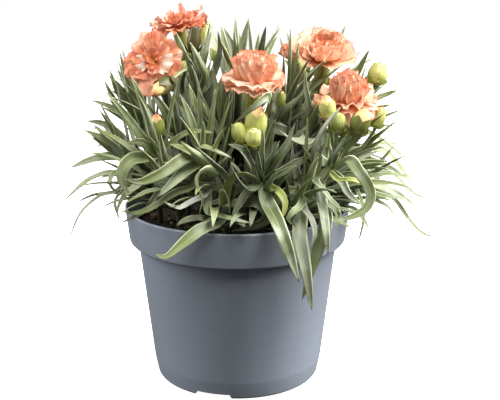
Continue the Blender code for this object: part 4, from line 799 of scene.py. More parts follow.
# Petals, ring by ring: (count, lean from the flower's axis at the foot and at the tip in degrees, share
# of the petal over which it bends, length and width as shares of the flower's radius, how far up the
# axis the ring starts as a share of its height, how pale its petals are)
RINGS = {
    "1": [
        (7, 58, 98, 0.9, 1.14, 0.98, 0.00, 0.10),
        (6, 50, 84, 0.9, 1.10, 0.92, 0.04, 0.35),
        (6, 40, 60, 0.9, 0.92, 0.84, 0.08, 0.15),
        (5, 26, 36, 0.9, 0.78, 0.70, 0.10, 0.20),
    ],
    "3": [
        (8, 84, 92, 0.6, 0.84, 0.84, 0.28, 1.00),
        (7, 80, 87, 0.6, 0.88, 0.86, 0.32, 0.50),
        (7, 76, 80, 0.6, 0.84, 0.84, 0.36, 0.90),
        (6, 88, 2, 0.60, 1.04, 1.02, 0.28, 0.35),
        (6, 68, -8, 0.7, 1.02, 0.86, 0.30, 0.60),
        (6, 46, -8, 0.8, 0.96, 0.78, 0.32, 0.50),
        (5, 26, -4, 0.8, 0.88, 0.68, 0.34, 0.65),
        (4, 8, 0, 0.8, 0.80, 0.56, 0.34, 0.40),
    ],
    "4": [
        (7, 88, 46, 0.7, 1.04, 1.12, 0.20, 0.60),
        (7, 80, 28, 0.7, 0.96, 1.06, 0.22, 0.70),
        (6, 66, 4, 0.7, 0.84, 0.98, 0.24, 0.60),
        (6, 50, -4, 0.8, 0.70, 0.84, 0.24, 0.30),
        (5, 32, -8, 0.8, 0.58, 0.68, 0.24, 0.05),
        (4, 14, -6, 0.8, 0.48, 0.52, 0.24, 0.00),
    ],
    "5": [
        (7, 80, 100, 0.7, 0.96, 0.96, 0.22, 0.85),
        (6, 76, 90, 0.7, 0.94, 0.94, 0.28, 0.30),
        (6, 72, 66, 0.7, 0.86, 0.88, 0.32, 0.70),
        (6, 74, -6, 0.6, 1.00, 0.96, 0.24, 0.35),
        (6, 54, -14, 0.7, 1.06, 0.84, 0.28, 0.70),
        (5, 34, -6, 0.8, 1.02, 0.74, 0.32, 0.50),
        (4, 12, 0, 0.8, 0.94, 0.60, 0.34, 0.60),
    ],
    "6": [
        (5, 34, 12, 1.0, 1.35, 0.95, 0.10, 0.5),
        (5, 20, 6, 1.0, 1.30, 0.85, 0.20, 0.5),
        (4, 6, 0, 1.0, 1.20, 0.70, 0.25, 0.3),
    ],
}

# How far a flower's petals run from coral to salmon, and how far its head nods to the viewer
CORAL_TO_SALMON = {
    "1": (0.0, 0.3), "2": (0.0, 0.25), "3": (0.2, 0.95), "4": (0.45, 1.0), "5": (0.15, 0.85), "6": (0.4, 0.9),
}
NODS = {"4": 0.25}

# How ruffled a flower's petals are, as a share of the most
RUFFLES = {"1": 0.9, "2": 0.6, "3": 0.75, "4": 0.50, "5": 0.75, "6": 0.8}

# Petals placed one by one: (turn about the axis, lean at the foot and at the tip in degrees, length and
# width in metres, start up the axis as a share of the flower's height, how pale it is)
SINGLE_PETALS = {
    "1": [
        (-100, 46, 66, 0.0165, 0.0100, 0.10, 0.60),
        (-62, 40, 52, 0.0150, 0.0105, 0.10, 0.35),
        (86, 44, 70, 0.0170, 0.0105, 0.10, 0.80),
        (134, 26, 4, 0.0150, 0.0062, 0.10, 0.25),
        (-140, 30, 24, 0.0130, 0.0100, 0.10, 0.40),
    ],
    "2": [
        (40, 66, 92, 0.0163, 0.0175, 0.10, 0.35),
        (-4, 56, 84, 0.0154, 0.0135, 0.10, 0.05),
        (-36, 60, 80, 0.0140, 0.0125, 0.10, 0.10),
        (-70, 66, 92, 0.0146, 0.0092, 0.10, 0.60),
        (-128, 66, 96, 0.0155, 0.0190, 0.10, 0.10),
        (105, 64, 90, 0.0170, 0.0170, 0.10, 0.05),
        (132, 58, 84, 0.0142, 0.0125, 0.10, 0.05),
        (164, 66, 100, 0.0182, 0.0155, 0.10, 0.20),
        (-164, 60, 92, 0.0142, 0.0125, 0.10, 0.10),
        (72, 50, 78, 0.0125, 0.0120, 0.15, 0.05),
        (8, 48, 74, 0.0112, 0.0110, 0.15, 0.10),
        (-40, 48, 78, 0.0112, 0.0110, 0.15, 0.10),
        (150, 56, 88, 0.0116, 0.0110, 0.15, 0.10),
        (-106, 62, 92, 0.0104, 0.0128, 0.30, 1.00),
        (108, 62, 90, 0.0092, 0.0104, 0.30, 1.00),
        (-160, 50, 86, 0.0078, 0.0080, 0.30, 0.15),
        (14, 40, 66, 0.0070, 0.0076, 0.35, 0.10),
        (60, 36, 70, 0.0056, 0.0062, 0.38, 0.00),
        (-60, 36, 70, 0.0052, 0.0060, 0.38, 0.00),
        (170, 40, 76, 0.0052, 0.0058, 0.38, 0.00),
        (0, 20, 50, 0.0036, 0.0044, 0.42, 0.00),
        (120, 20, 50, 0.0036, 0.0044, 0.42, 0.00),
        (-120, 20, 50, 0.0036, 0.0044, 0.42, 0.00),
    ],
}


def put_in_scene(name, data):
    """A new object in the scene for this mesh, lamp or lens."""
    made = bpy.data.objects.new(name, data)
    bpy.context.scene.collection.objects.link(made)
    return made


def put_whole(name, whole):
    """A new object in the scene from a bmesh, which is freed."""
    mesh = bpy.data.meshes.new(name)
    whole.to_mesh(mesh)
    whole.free()
    return put_in_scene(name, mesh)


class Build:
    """A mesh being put together: points, faces, and at each point a tint of four numbers."""

    def __init__(self):
        self.points, self.faces, self.tints = [], [], []

    def ring(self, places, tints):
        """Adds points and returns their numbers."""
        first = len(self.points)
        self.points.extend(tuple(p) for p in places)
        self.tints.extend(tints)
        return list(range(first, len(self.points)))

    def loft(self, rows, closed=True, foot=False, tip=False):
        """Faces from each row of points to the next, and over the first (foot) or the last (tip)."""
        if foot:
            self.faces.append(tuple(reversed(rows[0])))
        for a, b in zip(rows, rows[1:]):
            for i in range(len(a) if closed else len(a) - 1):
                j = (i + 1) % len(a)
                self.faces.append((a[i], a[j], b[j], b[i]))
        if tip:
            self.faces.append(tuple(rows[-1]))

    def finish(self, name, material, slot, *nodes):
        """Makes the piece, which stands for these CAD nodes and rides on the one body."""
        mesh = bpy.data.meshes.new(name)
        mesh.from_pydata(self.points, [], self.faces)
        tint = mesh.color_attributes.new("tint", "FLOAT_COLOR", "POINT")
        tint.data.foreach_set("color", [value for row in self.tints for value in row])
        mesh.materials.append(material)
        mesh.shade_smooth()
        declare(put_in_scene(name, mesh), slot, *nodes)


def declare(piece, slot, *nodes):
    """Says what a piece rides on and the CAD nodes that it stands for. Its slot is not used."""
    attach(piece, "root")
    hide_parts(*nodes)


class Paint:
    """A node material being put together around its Principled shader."""

    def __init__(self, name, roughness):
        self.material = bpy.data.materials.new(name)
        self.material.use_nodes = True
        self.nodes = self.material.node_tree.nodes
        self.links = self.material.node_tree.links
        self.shader = self.nodes["Principled BSDF"]
        self.shader.inputs["Roughness"].default_value = roughness

    def put(self, socket, value):
        if isinstance(value, bpy.types.NodeSocket):
            self.links.new(value, socket)
        else:
            socket.default_value = value

    def calc(self, operation, a, b=0.0, c=0.0):
        node = self.nodes.new("ShaderNodeMath")
        node.operation = operation
        for socket, value in zip(node.inputs, (a, b, c)):
            self.put(socket, value)
        return node.outputs[0]

    def mix(self, share, a, b):
        """The colour a turned into b by share."""
        node = self.nodes.new("ShaderNodeMix")
        node.data_type = "RGBA"
        self.put(node.inputs[0], share)
        for socket, value in zip((node.inputs[6], node.inputs[7]), (a, b)):
            self.put(socket, value if isinstance(value, bpy.types.NodeSocket) else (*value, 1))
        return node.outputs[2]

    def times(self, a, b):
        return self.calc("MULTIPLY", a, b)

    def rest(self, value):
        """What is left of 1."""
        return self.calc("SUBTRACT", 1.0, value)

    def lines(self, value, closeness):
        """Stripes as value grows: 0 at each stripe's edge and 1 at its middle."""
        return self.calc("ABSOLUTE", self.calc("SINE", self.times(value, closeness)))

    def from_middle(self, across):
        """0 in the middle of a blade, where across is a half, and 1 at its two edges."""
        return self.calc("ABSOLUTE", self.calc("MULTIPLY_ADD", across, 2.0, -1.0))

    def over(self, tone, colour, share, *more):
        """A tone turned into a colour by the product of these shares."""
        for other in more:
            share = self.times(share, other)
        return self.mix(share, tone, colour)

    def step(self, value, low, high):
        """0 below low, 1 above high, and smooth between them."""
        node = self.nodes.new("ShaderNodeMapRange")
        node.interpolation_type = "SMOOTHSTEP"
        for socket, number in zip(node.inputs, (value, low, high, 0.0, 1.0)):
            self.put(socket, number)
        return node.outputs[0]

    def grain(self, scale, detail=3.0, stretch=None):
        """Noise in the object's own frame, finer as scale grows."""
        place = self.nodes.new("ShaderNodeTexCoord").outputs["Object"]
        if stretch:
            mapping = self.nodes.new("ShaderNodeMapping")
            mapping.inputs["Scale"].default_value = stretch
            self.links.new(place, mapping.inputs["Vector"])
            place = mapping.outputs[0]
        node = self.nodes.new("ShaderNodeTexNoise")
        node.inputs["Scale"].default_value = scale
        node.inputs["Detail"].default_value = detail
        self.links.new(place, node.inputs["Vector"])
        return node.outputs["Fac"]

    def tint(self):
        """The four numbers of the tint attribute, as sockets."""
        read = self.nodes.new("ShaderNodeAttribute")
        read.attribute_name = "tint"
        split = self.nodes.new("ShaderNodeSeparateColor")
        self.links.new(read.outputs["Color"], split.inputs[0])
        return split.outputs[0], split.outputs[1], split.outputs[2], read.outputs["Alpha"]

    def colour(self, value):
        self.put(self.shader.inputs["Base Color"], value)

    def bump(self, relief, scale, distance, detail=3.0):
        """Roughens the surface with this relief and noise of this scale."""
        node = self.nodes.new("ShaderNodeBump")
        node.inputs["Strength"].default_value = 1.0
        node.inputs["Distance"].default_value = distance
        self.put(node.inputs["Height"], self.calc("ADD", relief, self.grain(scale, detail)))
        self.links.new(node.outputs[0], self.shader.inputs["Normal"])

    def glow_through(self, colour, share):
        """Lets some of the light that falls on one side out on the other."""
        through = self.nodes.new("ShaderNodeBsdfTranslucent")
        self.put(through.inputs["Color"], colour)
        both = self.nodes.new("ShaderNodeMixShader")
        both.inputs[0].default_value = share
        self.links.new(self.shader.outputs[0], both.inputs[1])
        self.links.new(through.outputs[0], both.inputs[2])
        self.links.new(both.outputs[0], self.nodes["Material Output"].inputs["Surface"])


def leaf_paint():
    """Waxy grey-green with lengthwise veins, a pale margin partly painted highlight, painted shade inside the
    plant, a few tips dry.
    """
    paint = Paint("leaf_wax", 0.44)
    along, across, chance, out_of_painted_shade = paint.tint()
    deep, fresh, grey = (0.044, 0.068, 0.026), (0.290, 0.350, 0.112), (0.460, 0.510, 0.380)
    freshness = paint.calc("SUBTRACT", chance, paint.step(chance, 1.0, 1.1))
    tone = paint.mix(freshness, deep, fresh)
    tone = paint.over(tone, grey, paint.step(paint.grain(60.0), 0.40, 0.66), 0.60)
    edge = paint.from_middle(across)
    veins = paint.lines(across, 34.0)
    tone = paint.over(tone, (0.44, 0.48, 0.28), paint.step(veins, 0.75, 1.0), 0.22)
    rib = paint.rest(paint.step(edge, 0.03, 0.16))
    tone = paint.over(tone, (0.44, 0.50, 0.24), rib, 0.40)
    # Pale margin: partly the leaf's own edge colour, partly a painted highlight along the lit leaf edges
    pale_margin_and_highlight = paint.step(edge, 0.82, 0.94)
    tone = paint.over(tone, (0.72, 0.77, 0.46), pale_margin_and_highlight, 0.92)
    foot = paint.rest(paint.step(along, 0.04, 0.24))
    tone = paint.over(tone, (0.40, 0.48, 0.16), foot, 0.40)
    yellow = paint.calc("SUBTRACT", paint.step(chance, 0.86, 0.96), paint.step(chance, 1.0, 1.2))
    tone = paint.over(tone, (0.54, 0.60, 0.13), yellow, 0.75)
    tone = paint.over(tone, (0.74, 0.76, 0.66), paint.step(chance, 1.0, 2.0), paint.step(along, 0.05, 0.45))
    pick = paint.calc("SINE", paint.times(chance, 97.0))
    tone = paint.over(tone, (0.55, 0.46, 0.18), paint.step(along, 0.91, 0.99), paint.step(pick, 0.0, 0.6))
    # Painted shade: the colour turns near black towards the plant's heart, standing in for the shade deep in
    # the foliage
    tone = paint.over(tone, (0.016, 0.021, 0.009), paint.rest(out_of_painted_shade), 0.93)
    paint.colour(tone)
    paint.shader.inputs["Specular IOR Level"].default_value = 0.55
    paint.bump(veins, 900.0, 0.00006)
    paint.glow_through(paint.mix(0.5, tone, (0.34, 0.46, 0.08)), 0.10)
    return paint.material


def cup_paint():
    """Smooth yellow-green of calyxes and buds: tint is height, turn, how much petal shows, and chance."""
    paint = Paint("calyx_skin", 0.42)
    height, turn, petal, chance = paint.tint()
    green = paint.mix(paint.step(chance, 0.0, 0.5), (0.070, 0.062, 0.018), (0.32, 0.37, 0.08))
    green = paint.mix(paint.step(chance, 0.5, 1.0), green, (0.78, 0.76, 0.24))
    green = paint.over(green, (0.76, 0.74, 0.26), paint.step(height, 0.45, 0.95), chance, 0.6)
    ribs = paint.lines(turn, 15 * math.pi)
    green = paint.over(green, (0.60, 0.64, 0.26), paint.step(ribs, 0.6, 1.0), 0.25, chance)
    green = paint.over(green, (0.26, 0.32, 0.08), paint.grain(300.0), 0.4, chance)
    orange = paint.mix(paint.step(height, 0.78, 1.0), (0.96, 0.66, 0.30), (0.88, 0.30, 0.11))
    paint.colour(paint.mix(petal, green, orange))
    paint.bump(ribs, 700.0, 0.00008)
    return paint.material


def petal_paint():
    """Thin salmon petals: yellow-orange at the foot, cream clouds, fine rays and a coral line at the rim."""
    paint = Paint("petal_silk", 0.58)
    along, across, pale, chance = paint.tint()
    coral, salmon, cream = (0.64, 0.120, 0.038), (0.84, 0.385, 0.152), (0.98, 0.800, 0.640)
    cloud = paint.grain(170.0)
    tone = paint.mix(chance, coral, salmon)
    lift = paint.calc("MULTIPLY_ADD", chance, 0.7, 0.3)
    tone = paint.over(tone, (0.88, 0.470, 0.215), paint.step(cloud, 0.42, 0.62), lift)
    rays = paint.lines(across, 44.0)
    reach = paint.calc("MULTIPLY_ADD", cloud, 0.7, paint.calc("MULTIPLY_ADD", rays, 0.12, along))
    tone = paint.over(tone, cream, paint.step(reach, 0.55, 1.10), pale)
    foot = paint.rest(paint.step(along, 0.14, 0.48))
    tone = paint.over(tone, (0.94, 0.500, 0.095), foot, paint.calc("MULTIPLY_ADD", pale, -0.55, 0.85))
    tone = paint.over(tone, coral, paint.step(rays, 0.6, 1.0), 0.18)
    edge = paint.times(paint.from_middle(across), paint.step(along, 0.35, 0.75))
    border = paint.calc("MAXIMUM", along, edge)
    light = paint.calc("MULTIPLY_ADD", pale, 0.45, 0.18)
    tone = paint.over(tone, (0.94, 0.620, 0.460), paint.step(border, 0.80, 0.93), light)
    tone = paint.over(tone, (0.74, 0.190, 0.080), paint.step(border, 0.955, 0.99), 0.75)
    paint.colour(tone)
    paint.shader.inputs["Sheen Weight"].default_value = 0.10
    paint.bump(rays, 600.0, 0.00010)
    paint.glow_through(tone, 0.22)
    return paint.material


def pot_paint():
    """Blue-grey moulded plastic with a soft sheen, faint flow marks and a little dust."""
    paint = Paint("pot_moulding", 0.40)
    cloud = paint.grain(14.0, 4.0)
    flow = paint.grain(60.0, 2.0, (1.0, 1.0, 0.10))
    tone = paint.mix(cloud, (0.260, 0.292, 0.350), (0.300, 0.335, 0.395))
    tone = paint.over(tone, (0.240, 0.270, 0.326), flow, 0.25)
    dust = paint.step(paint.grain(240.0, 5.0), 0.56, 0.74)
    paint.colour(paint.over(tone, (0.40, 0.42, 0.44), dust, 0.14))
    paint.put(paint.shader.inputs["Roughness"], paint.calc("MULTIPLY_ADD", cloud, 0.16, 0.32))
    paint.bump(paint.times(flow, 3.0), 420.0, 0.00006, 2.0)
    return paint.material


def soil_paint():
    """Dark crumbly peat with brown fibres, pale grit and green moss where the tint says so."""
    paint = Paint("peat_crumb", 0.95)
    _, moss, chip, chance = paint.tint()
    crumb = paint.grain(420.0, 6.0)
    tone = paint.mix(paint.step(crumb, 0.35, 0.65), (0.010, 0.007, 0.005), (0.045, 0.032, 0.021))
    tone = paint.over(tone, (0.30, 0.24, 0.17), paint.step(paint.grain(1500.0, 2.0), 0.70, 0.78), 0.6)
    green = paint.mix(paint.grain(900.0), (0.065, 0.085, 0.012), (0.22, 0.24, 0.04))
    tone = paint.over(tone, green, moss, paint.step(crumb, 0.3, 0.5))
    bark = paint.mix(paint.step(chance, 0.55, 1.0), (0.030, 0.020, 0.012), (0.30, 0.19, 0.11))
    paint.colour(paint.mix(chip, tone, bark))
    paint.bump(crumb, 1300.0, 0.0006)
    return paint.material


def out_of_painted_shade(p):
    """How far out of the plant's shaded heart a point is, 0 to 1: inside it, leaves and stems get painted
    shade.
    """
    out = math.hypot(p.x * HEART_SHAPE[0], p.y * HEART_SHAPE[1], (p.z - HEART_HEIGHT) * HEART_SHAPE[2])
    return ease(min(1.0, max(0.0, (out - HEART_RADIUS) / HEART_FADE)))


def add_blade(build, leaf, chance):
    """A leaf blade: channelled above, rounded below, thin at its margins and a little wavy."""
    last = len(leaf.line) - 1
    picked = sorted({*range(0, last, BLADE_STEP), last})
    shares = [2 * k / (BLADE_COLUMNS - 1) - 1 for k in range(BLADE_COLUMNS)]
    wave = chance * 9
    rows = []
    for i in picked:
        s = i / last
        share = max(0.035, blade_width(s)) * (1 if s > 0.06 else 0.75)
        centre, half, face = leaf.section(i, share)
        width = half.length * 2
        rise = width * CHANNEL_SHARE * (1 - 0.35 * s)
        flutter = width * 0.05 * math.sin(wave + s * 13)
        thick = BLADE_THICKNESS * min(1.0, width / THINNER_BELOW)
        # Painted shade: the tint's last number says how far this row is from the plant's heart, and the blade
        # is darker nearer it
        light = out_of_painted_shade(centre)
        places, tints = [], []
        for n, k in enumerate([*shares, *reversed(shares[1:-1])]):
            lift = rise * abs(k) ** 1.4 + flutter * k * abs(k)
            if n >= BLADE_COLUMNS:
                lift = lift - thick * (1 - k * k) - thick * 0.15
            places.append(centre + half * k + face * lift)
            tints.append((s, k / 2 + 0.5, chance, light))
        rows.append(build.ring(places, tints))
    build.loft(rows, foot=True, tip=True)


def add_tube(build, line, radius, swellings, chance, sides):
    """A round stem along a line, swollen at its leaf joints."""
    line = smooth(line, max(6, round(length_of(line) / TUBE_STEP)))
    rows = []
    face = Vector((1, 0, 0))
    for i, place in enumerate(line):
        ahead = direction(line, i)
        face = (face - ahead * face.dot(ahead)).normalized()
        side = ahead.cross(face)
        near = min(((place - s).length for s in swellings), default=1.0)
        r = radius * (1 + NODE_SWELL * math.exp(-((near / NODE_REACH) ** 2)))
        places = []
        for k in range(sides):
            turn = math.tau * k / sides
            places.append(place + face * (math.cos(turn) * r) + side * (math.sin(turn) * r))
        # Painted shade for the stems too, darker towards the plant's heart and a little darkened even out in
        # the open
        light = out_of_painted_shade(place) * 0.8
        rows.append(build.ring(places, [(0.3, k / sides, chance, light) for k in range(sides)]))
    build.loft(rows, foot=True, tip=True)


def pixel_of(place):
    """The pixel a place shows at: seen() the other way round."""
    turn = Matrix.Rotation(-VIEW_YAW, 3, "Z") @ Matrix.Rotation(-VIEW_PITCH, 3, "X")
    sight = turn.transposed() @ (place - EYE)
    scale = VIEW_FOCAL / sight.y
    return VIEW_CENTRE[0] + sight.x * scale, VIEW_CENTRE[1] - sight.z * scale


def standout(leaf, tone):
    """A leaf's own tone if it is one of those that stand out, or else this tone."""
    spot = pixel_of(leaf.line[-1])
    near = [own for tip, own in STANDOUT_LEAVES.items() if math.dist(tip, spot) < NEAR_ENOUGH]
    return near[0] if near else tone


def add_shoots(stems, stalks, leaves, paint):
    """Each leafy or flowering stem with its leaves and bud stalks, as one piece for its CAD node."""
    chance = random.Random(SHOOT_SEED)
    for name, line in stems.items():
        build = Build()
        own = [leaf for leaf in leaves if leaf.shoot == name]
        flowering = name.startswith("flower")
        radius = FLOWER_STEM_RADIUS if flowering else STEM_RADIUS
        joints = [leaf.line[0] for leaf in own]
        add_tube(build, line, radius, joints, chance.uniform(0.4, 0.8), STEM_SIDES)
        for stalk in stalks.get(name, []):
            add_tube(build, stalk, STALK_RADIUS, [stalk[0]], chance.uniform(0.4, 0.8), STALK_SIDES)
        shade = chance.uniform(0.1, 0.7)
        for leaf in own:
            tone = min(1.0, max(0.0, shade + chance.uniform(-0.25, 0.3)))
            add_blade(build, leaf, standout(leaf, tone))
        build.finish(name + "_fine", paint, "leaf_green", name)


def frame_of(axis):
    """Two unit vectors across an axis. The first looks to the viewer, or up if the axis leans far over."""
    known = Vector((0, -1, 0)) if axis.z > 0.7 else Vector((0, 0, 1))
    across = (known - axis * axis.dot(known)).normalized()
    return across, axis.cross(across)


def add_bracts(build, base, axis, radius, length, tint):
    """The small scales that clasp a calyx or a bud at its foot."""
    across, other = frame_of(axis)
    for n in range(BRACTS):
        about = math.tau * n / BRACTS + (0.4 if n % 2 else 0)
        reach = length * (1.0 if n % 2 else 0.8)
        rows = []
        for i in range(BRACT_ROWS):
            s = i / (BRACT_ROWS - 1)
            spread = 0.75 * (1 - s) ** 0.7
            out = radius * (0.72 + 0.42 * math.sin(min(1, s * 1.3) * math.pi / 2)) + BRACT_CLEARANCE
            row = []
            for k in range(BRACT_COLUMNS):
                way = around(across, other, about + spread * (k / 2 - 1))
                row.append(base + axis * (reach * s) + way * out)
            rows.append(build.ring(row, [(s * 0.4, k / 4, *tint) for k in range(BRACT_COLUMNS)]))
        build.loft(rows, closed=False)


def add_cup(build, base, axis, length, profile, teeth, tint):
    """A calyx or bud skin: a turned cup of (share of length, radius), with pointed teeth at its mouth."""
    across, other = frame_of(axis)
    rows = []
    for share, radius in profile:
        places = []
        for k in range(CUP_SIDES):
            turn = math.tau * k / CUP_SIDES
            point = abs(((k * TEETH / CUP_SIDES) % 1) * 2 - 1)
            climb = teeth * (1 - point) * (share / profile[-1][0]) ** 8
            r = radius * (1 + 0.02 * math.cos(turn * TEETH * 3))
            way = around(across, other, turn)
            places.append(base + axis * (length * share + climb) + way * r)
        rows.append(build.ring(places, [(share, k / CUP_SIDES, *tint) for k in range(CUP_SIDES)]))
    build.loft(rows, foot=True)


def add_calyxes(paint):
    """The toothed green cup under each flower, with the bracts at its foot."""
    chance = random.Random(CALYX_SEED)
    for flower in FLOWERS:
        base, _, axis = flower_base(flower)
        build = Build()
        tint = (0.0, chance.uniform(0.26, 0.46))
        profile = [(share, CALYX_RADIUS * wide) for share, wide in CALYX_PROFILE]
        add_cup(build, base, axis, CALYX_LENGTH, profile, CALYX_TEETH, tint)
        add_bracts(build, base, axis, CALYX_RADIUS, CALYX_LENGTH * 0.42, tint)
        build.finish(f"calyx_{flower[0]}_fine", paint, "bud_green", "calyx_" + flower[0])


def add_buds(paint):
    """Buds: a toothed green skin around a pointed heart, which is petal-coloured where the bud opens."""
    for name, centre, length, diameter, pointing, _, _ in BUDS:
        axis = Vector(pointing).normalized()
        base = seen(*centre) - axis * (length / 2)
        r = diameter / 2
        opening = OPENING.get(name, 0.0)
        build = Build()
        tint = (0.0, LIGHTNESS[name])
        mouth = 0.84 - 0.34 * opening
        profile = []
        for i in range(BUD_SKIN_ROWS):
            s = i / (BUD_SKIN_ROWS - 1)
            bulge = math.sin(math.pi * (0.16 + 0.66 * s * mouth / 0.84)) ** 0.8
            profile.append((s * mouth, r * (bulge if i else 0.45)))
        add_cup(build, base, axis, length, profile, length * 0.16, tint)
        across, other = frame_of(axis)
        petal_share = min(1.0, opening * 2.2)
        rows = []
        for i in range(BUD_HEART_ROWS):
            s = i / (BUD_HEART_ROWS - 1)
            up = mouth * 0.8 + (1 - mouth * 0.8) * s
            bulge = math.sin(math.pi * (0.16 + 0.66 * up / 0.84 * (1 - 0.18 * s))) ** 0.8
            wide = r * bulge if up < 0.95 else 0
            wide = max(r * 0.05, wide * 0.94 * math.sqrt(max(0.0, 1 - s**2.4)))
            places = []
            for k in range(CUP_SIDES):
                turn = math.tau * k / CUP_SIDES + s * 0.9
                fold = 1 - 0.10 * (0.3 + opening) * abs(math.sin(turn * 4 + s * 2))
                places.append(base + axis * (length * up) + around(across, other, turn) * (wide * fold))
            tints = [(up, k / CUP_SIDES, petal_share, tint[1]) for k in range(CUP_SIDES)]
            rows.append(build.ring(places, tints))
        build.loft(rows, tip=True)
        add_bracts(build, base, axis, r, length * 0.26, tint)
        build.finish(f"bud_{name}_fine", paint, "bud_green", "bud_" + name)


def add_petal(build, base, axis, about, leans, shape, chance, shade):
    """One fan-shaped petal: it leaves the axis, bends from one lean to the other, and ruffles to its edge."""
    length, width, start = shape
    pale, tones, ruffles = shade
    across, other = frame_of(axis)
    out = around(across, other, about)
    side = axis.cross(out)
    foot = base + axis * start + out * (PETAL_FOOT + PETAL_FOOT_SPREAD * leans[0] / 90)
    wave, depth = chance.uniform(0, math.tau), chance.uniform(0.09, 0.17) * width * ruffles
    folds = chance.uniform(2.2, 3.4)
    skew = chance.uniform(-0.25, 0.25)
    tone = chance.uniform(*tones)
    teeth = chance.choice((9, 10, 11, 12))
    curl = chance.uniform(-6, 12)
    spine, turns = [foot], []
    steps = PETAL_ROWS - 1
    for i in range(steps):
        s = ease(min(1.0, (i + 0.5) / steps / leans[2]))
        bend = math.radians(leans[0] * (1 - s) + (leans[1] + curl) * s)
        turns.append(bend)
        spine.append(spine[-1] + around(axis, out, bend) * (length / steps))
    turns.append(turns[-1])
    rows = []
    for row in range(PETAL_ROWS):
        s = row / steps
        normal = axis * math.sin(turns[row]) - out * math.cos(turns[row])
        forward = around(axis, out, turns[row])
        half = width / 2 * (0.28 + 0.72 * ease(s) ** 0.6)
        places, tints = [], []
        for k in range(PETAL_COLUMNS + 1):
            a = 2 * k / PETAL_COLUMNS - 1
            edge = (a + 1) * teeth / 2 % 1
            tooth = length * 0.055 * (1 - abs(edge * 2 - 1)) * max(0.0, s - 0.84) / 0.16
            back = length * 0.24 * a * a * s * s
            ruffle = depth * s**2.2 * math.sin(wave + a * folds * 2.1 + s * 1.2)
            crinkle = depth * 0.30 * s**4 * math.sin(wave * 3 + a * folds * 7.3)
            cup = half * 0.18 * a * a * (1 - s)
            place = spine[row] + side * (a * half + skew * half * s * s) + forward * (tooth - back)
            places.append(place + normal * (ruffle + crinkle + cup))
            tints.append((s, k / PETAL_COLUMNS, pale, tone))
        rows.append(build.ring(places, tints))
    build.loft(rows, closed=False)


def add_corollas(paint):
    """The heads of petals, ring inside ring or one by one, each petal a little different."""
    chance = random.Random(PETAL_SEED)
    for flower in FLOWERS:
        name, _, _, radius, height, _ = flower
        _, base, axis = flower_base(flower)
        base = base - axis * PETALS_SUNK
        axis = (axis + TOWARDS_VIEWER * NODS.get(name, 0.0)).normalized()
        tones, ruffles = CORAL_TO_SALMON[name], RUFFLES[name]
        build = Build()
        for turn, foot, tip, length, width, start, pale in SINGLE_PETALS.get(name, []):
            about = math.radians(turn)
            shape = (length, width, height * start)
            add_petal(build, base, axis, about, (foot, tip, 1.0), shape, chance, (pale, tones, ruffles))
        for ring, (count, foot, tip, bent, length, width, start, pale) in enumerate(RINGS.get(name, [])):
            for n in range(count):
                about = math.tau * (n + 0.5 * (ring % 2)) / count + chance.uniform(-0.22, 0.22)
                leans = (foot + chance.uniform(-6, 6), tip + chance.uniform(-9, 9), bent)
                long = radius * length * chance.uniform(0.90, 1.05)
                wide = radius * width * chance.uniform(0.88, 1.10)
                shade = (min(1.0, pale * chance.uniform(0.7, 1.2)), tones, ruffles)
                add_petal(build, base, axis, about, leans, (long, wide, height * start), chance, shade)
        build.finish(f"corolla_{name}_fine", paint, "petal", "corolla_" + name)


def rounded(profile):
    """A profile with its corners rounded, all but those on the axis."""
    made = [Vector(profile[0])]
    for before, corner, after in zip(profile, profile[1:], profile[2:]):
        before, corner, after = Vector(before), Vector(corner), Vector(after)
        reach = min(EDGE_ROUNDING, (before - corner).length * 0.45, (after - corner).length * 0.45)
        a = corner + (before - corner).normalized() * reach
        b = corner + (after - corner).normalized() * reach
        for i in range(ROUNDING_STEPS + 1):
            t = i / ROUNDING_STEPS
            made.append(a * (1 - t) ** 2 + corner * (2 * t * (1 - t)) + b * t**2)
    made.append(Vector(profile[-1]))
    return made


def pot_cutter():
    """What is cut out of the turned pot: the notches in its foot ring and the drain holes."""
    whole = bmesh.new()
    for i in range(NOTCHES):
        angle = NOTCH_FIRST_ANGLE + i * math.tau / NOTCHES
        out = FOOT_RADIUS - FOOT_RING + NOTCH_REACH / 2 - NOTCH_OVERCUT
        made = bmesh.ops.create_cube(whole, size=1.0)
        for v in made["verts"]:
            narrow = 1.0 if v.co.z < 0 else NOTCH_TAPER
            v.co = Vector((v.co.x * NOTCH_REACH, v.co.y * NOTCH_WIDTH * narrow, v.co.z * 2 * RAISED_FLOOR))
            x, y = v.co.x + out, v.co.y
            v.co.x = x * math.cos(angle) - y * math.sin(angle)
            v.co.y = x * math.sin(angle) + y * math.cos(angle)
    for i in range(DRAIN_HOLES):
        angle = i * math.tau / DRAIN_HOLES
        round_cut = {"segments": DRAIN_SIDES, "radius1": DRAIN_RADIUS, "radius2": DRAIN_RADIUS}
        made = bmesh.ops.create_cone(whole, cap_ends=True, depth=DRAIN_CUT, **round_cut)
        for v in made["verts"]:
            x, y = math.cos(angle) * DRAIN_CIRCLE, math.sin(angle) * DRAIN_CIRCLE
            v.co += Vector((x, y, DRAIN_CUT_HEIGHT))
    return put_whole("pot_cutter", whole)


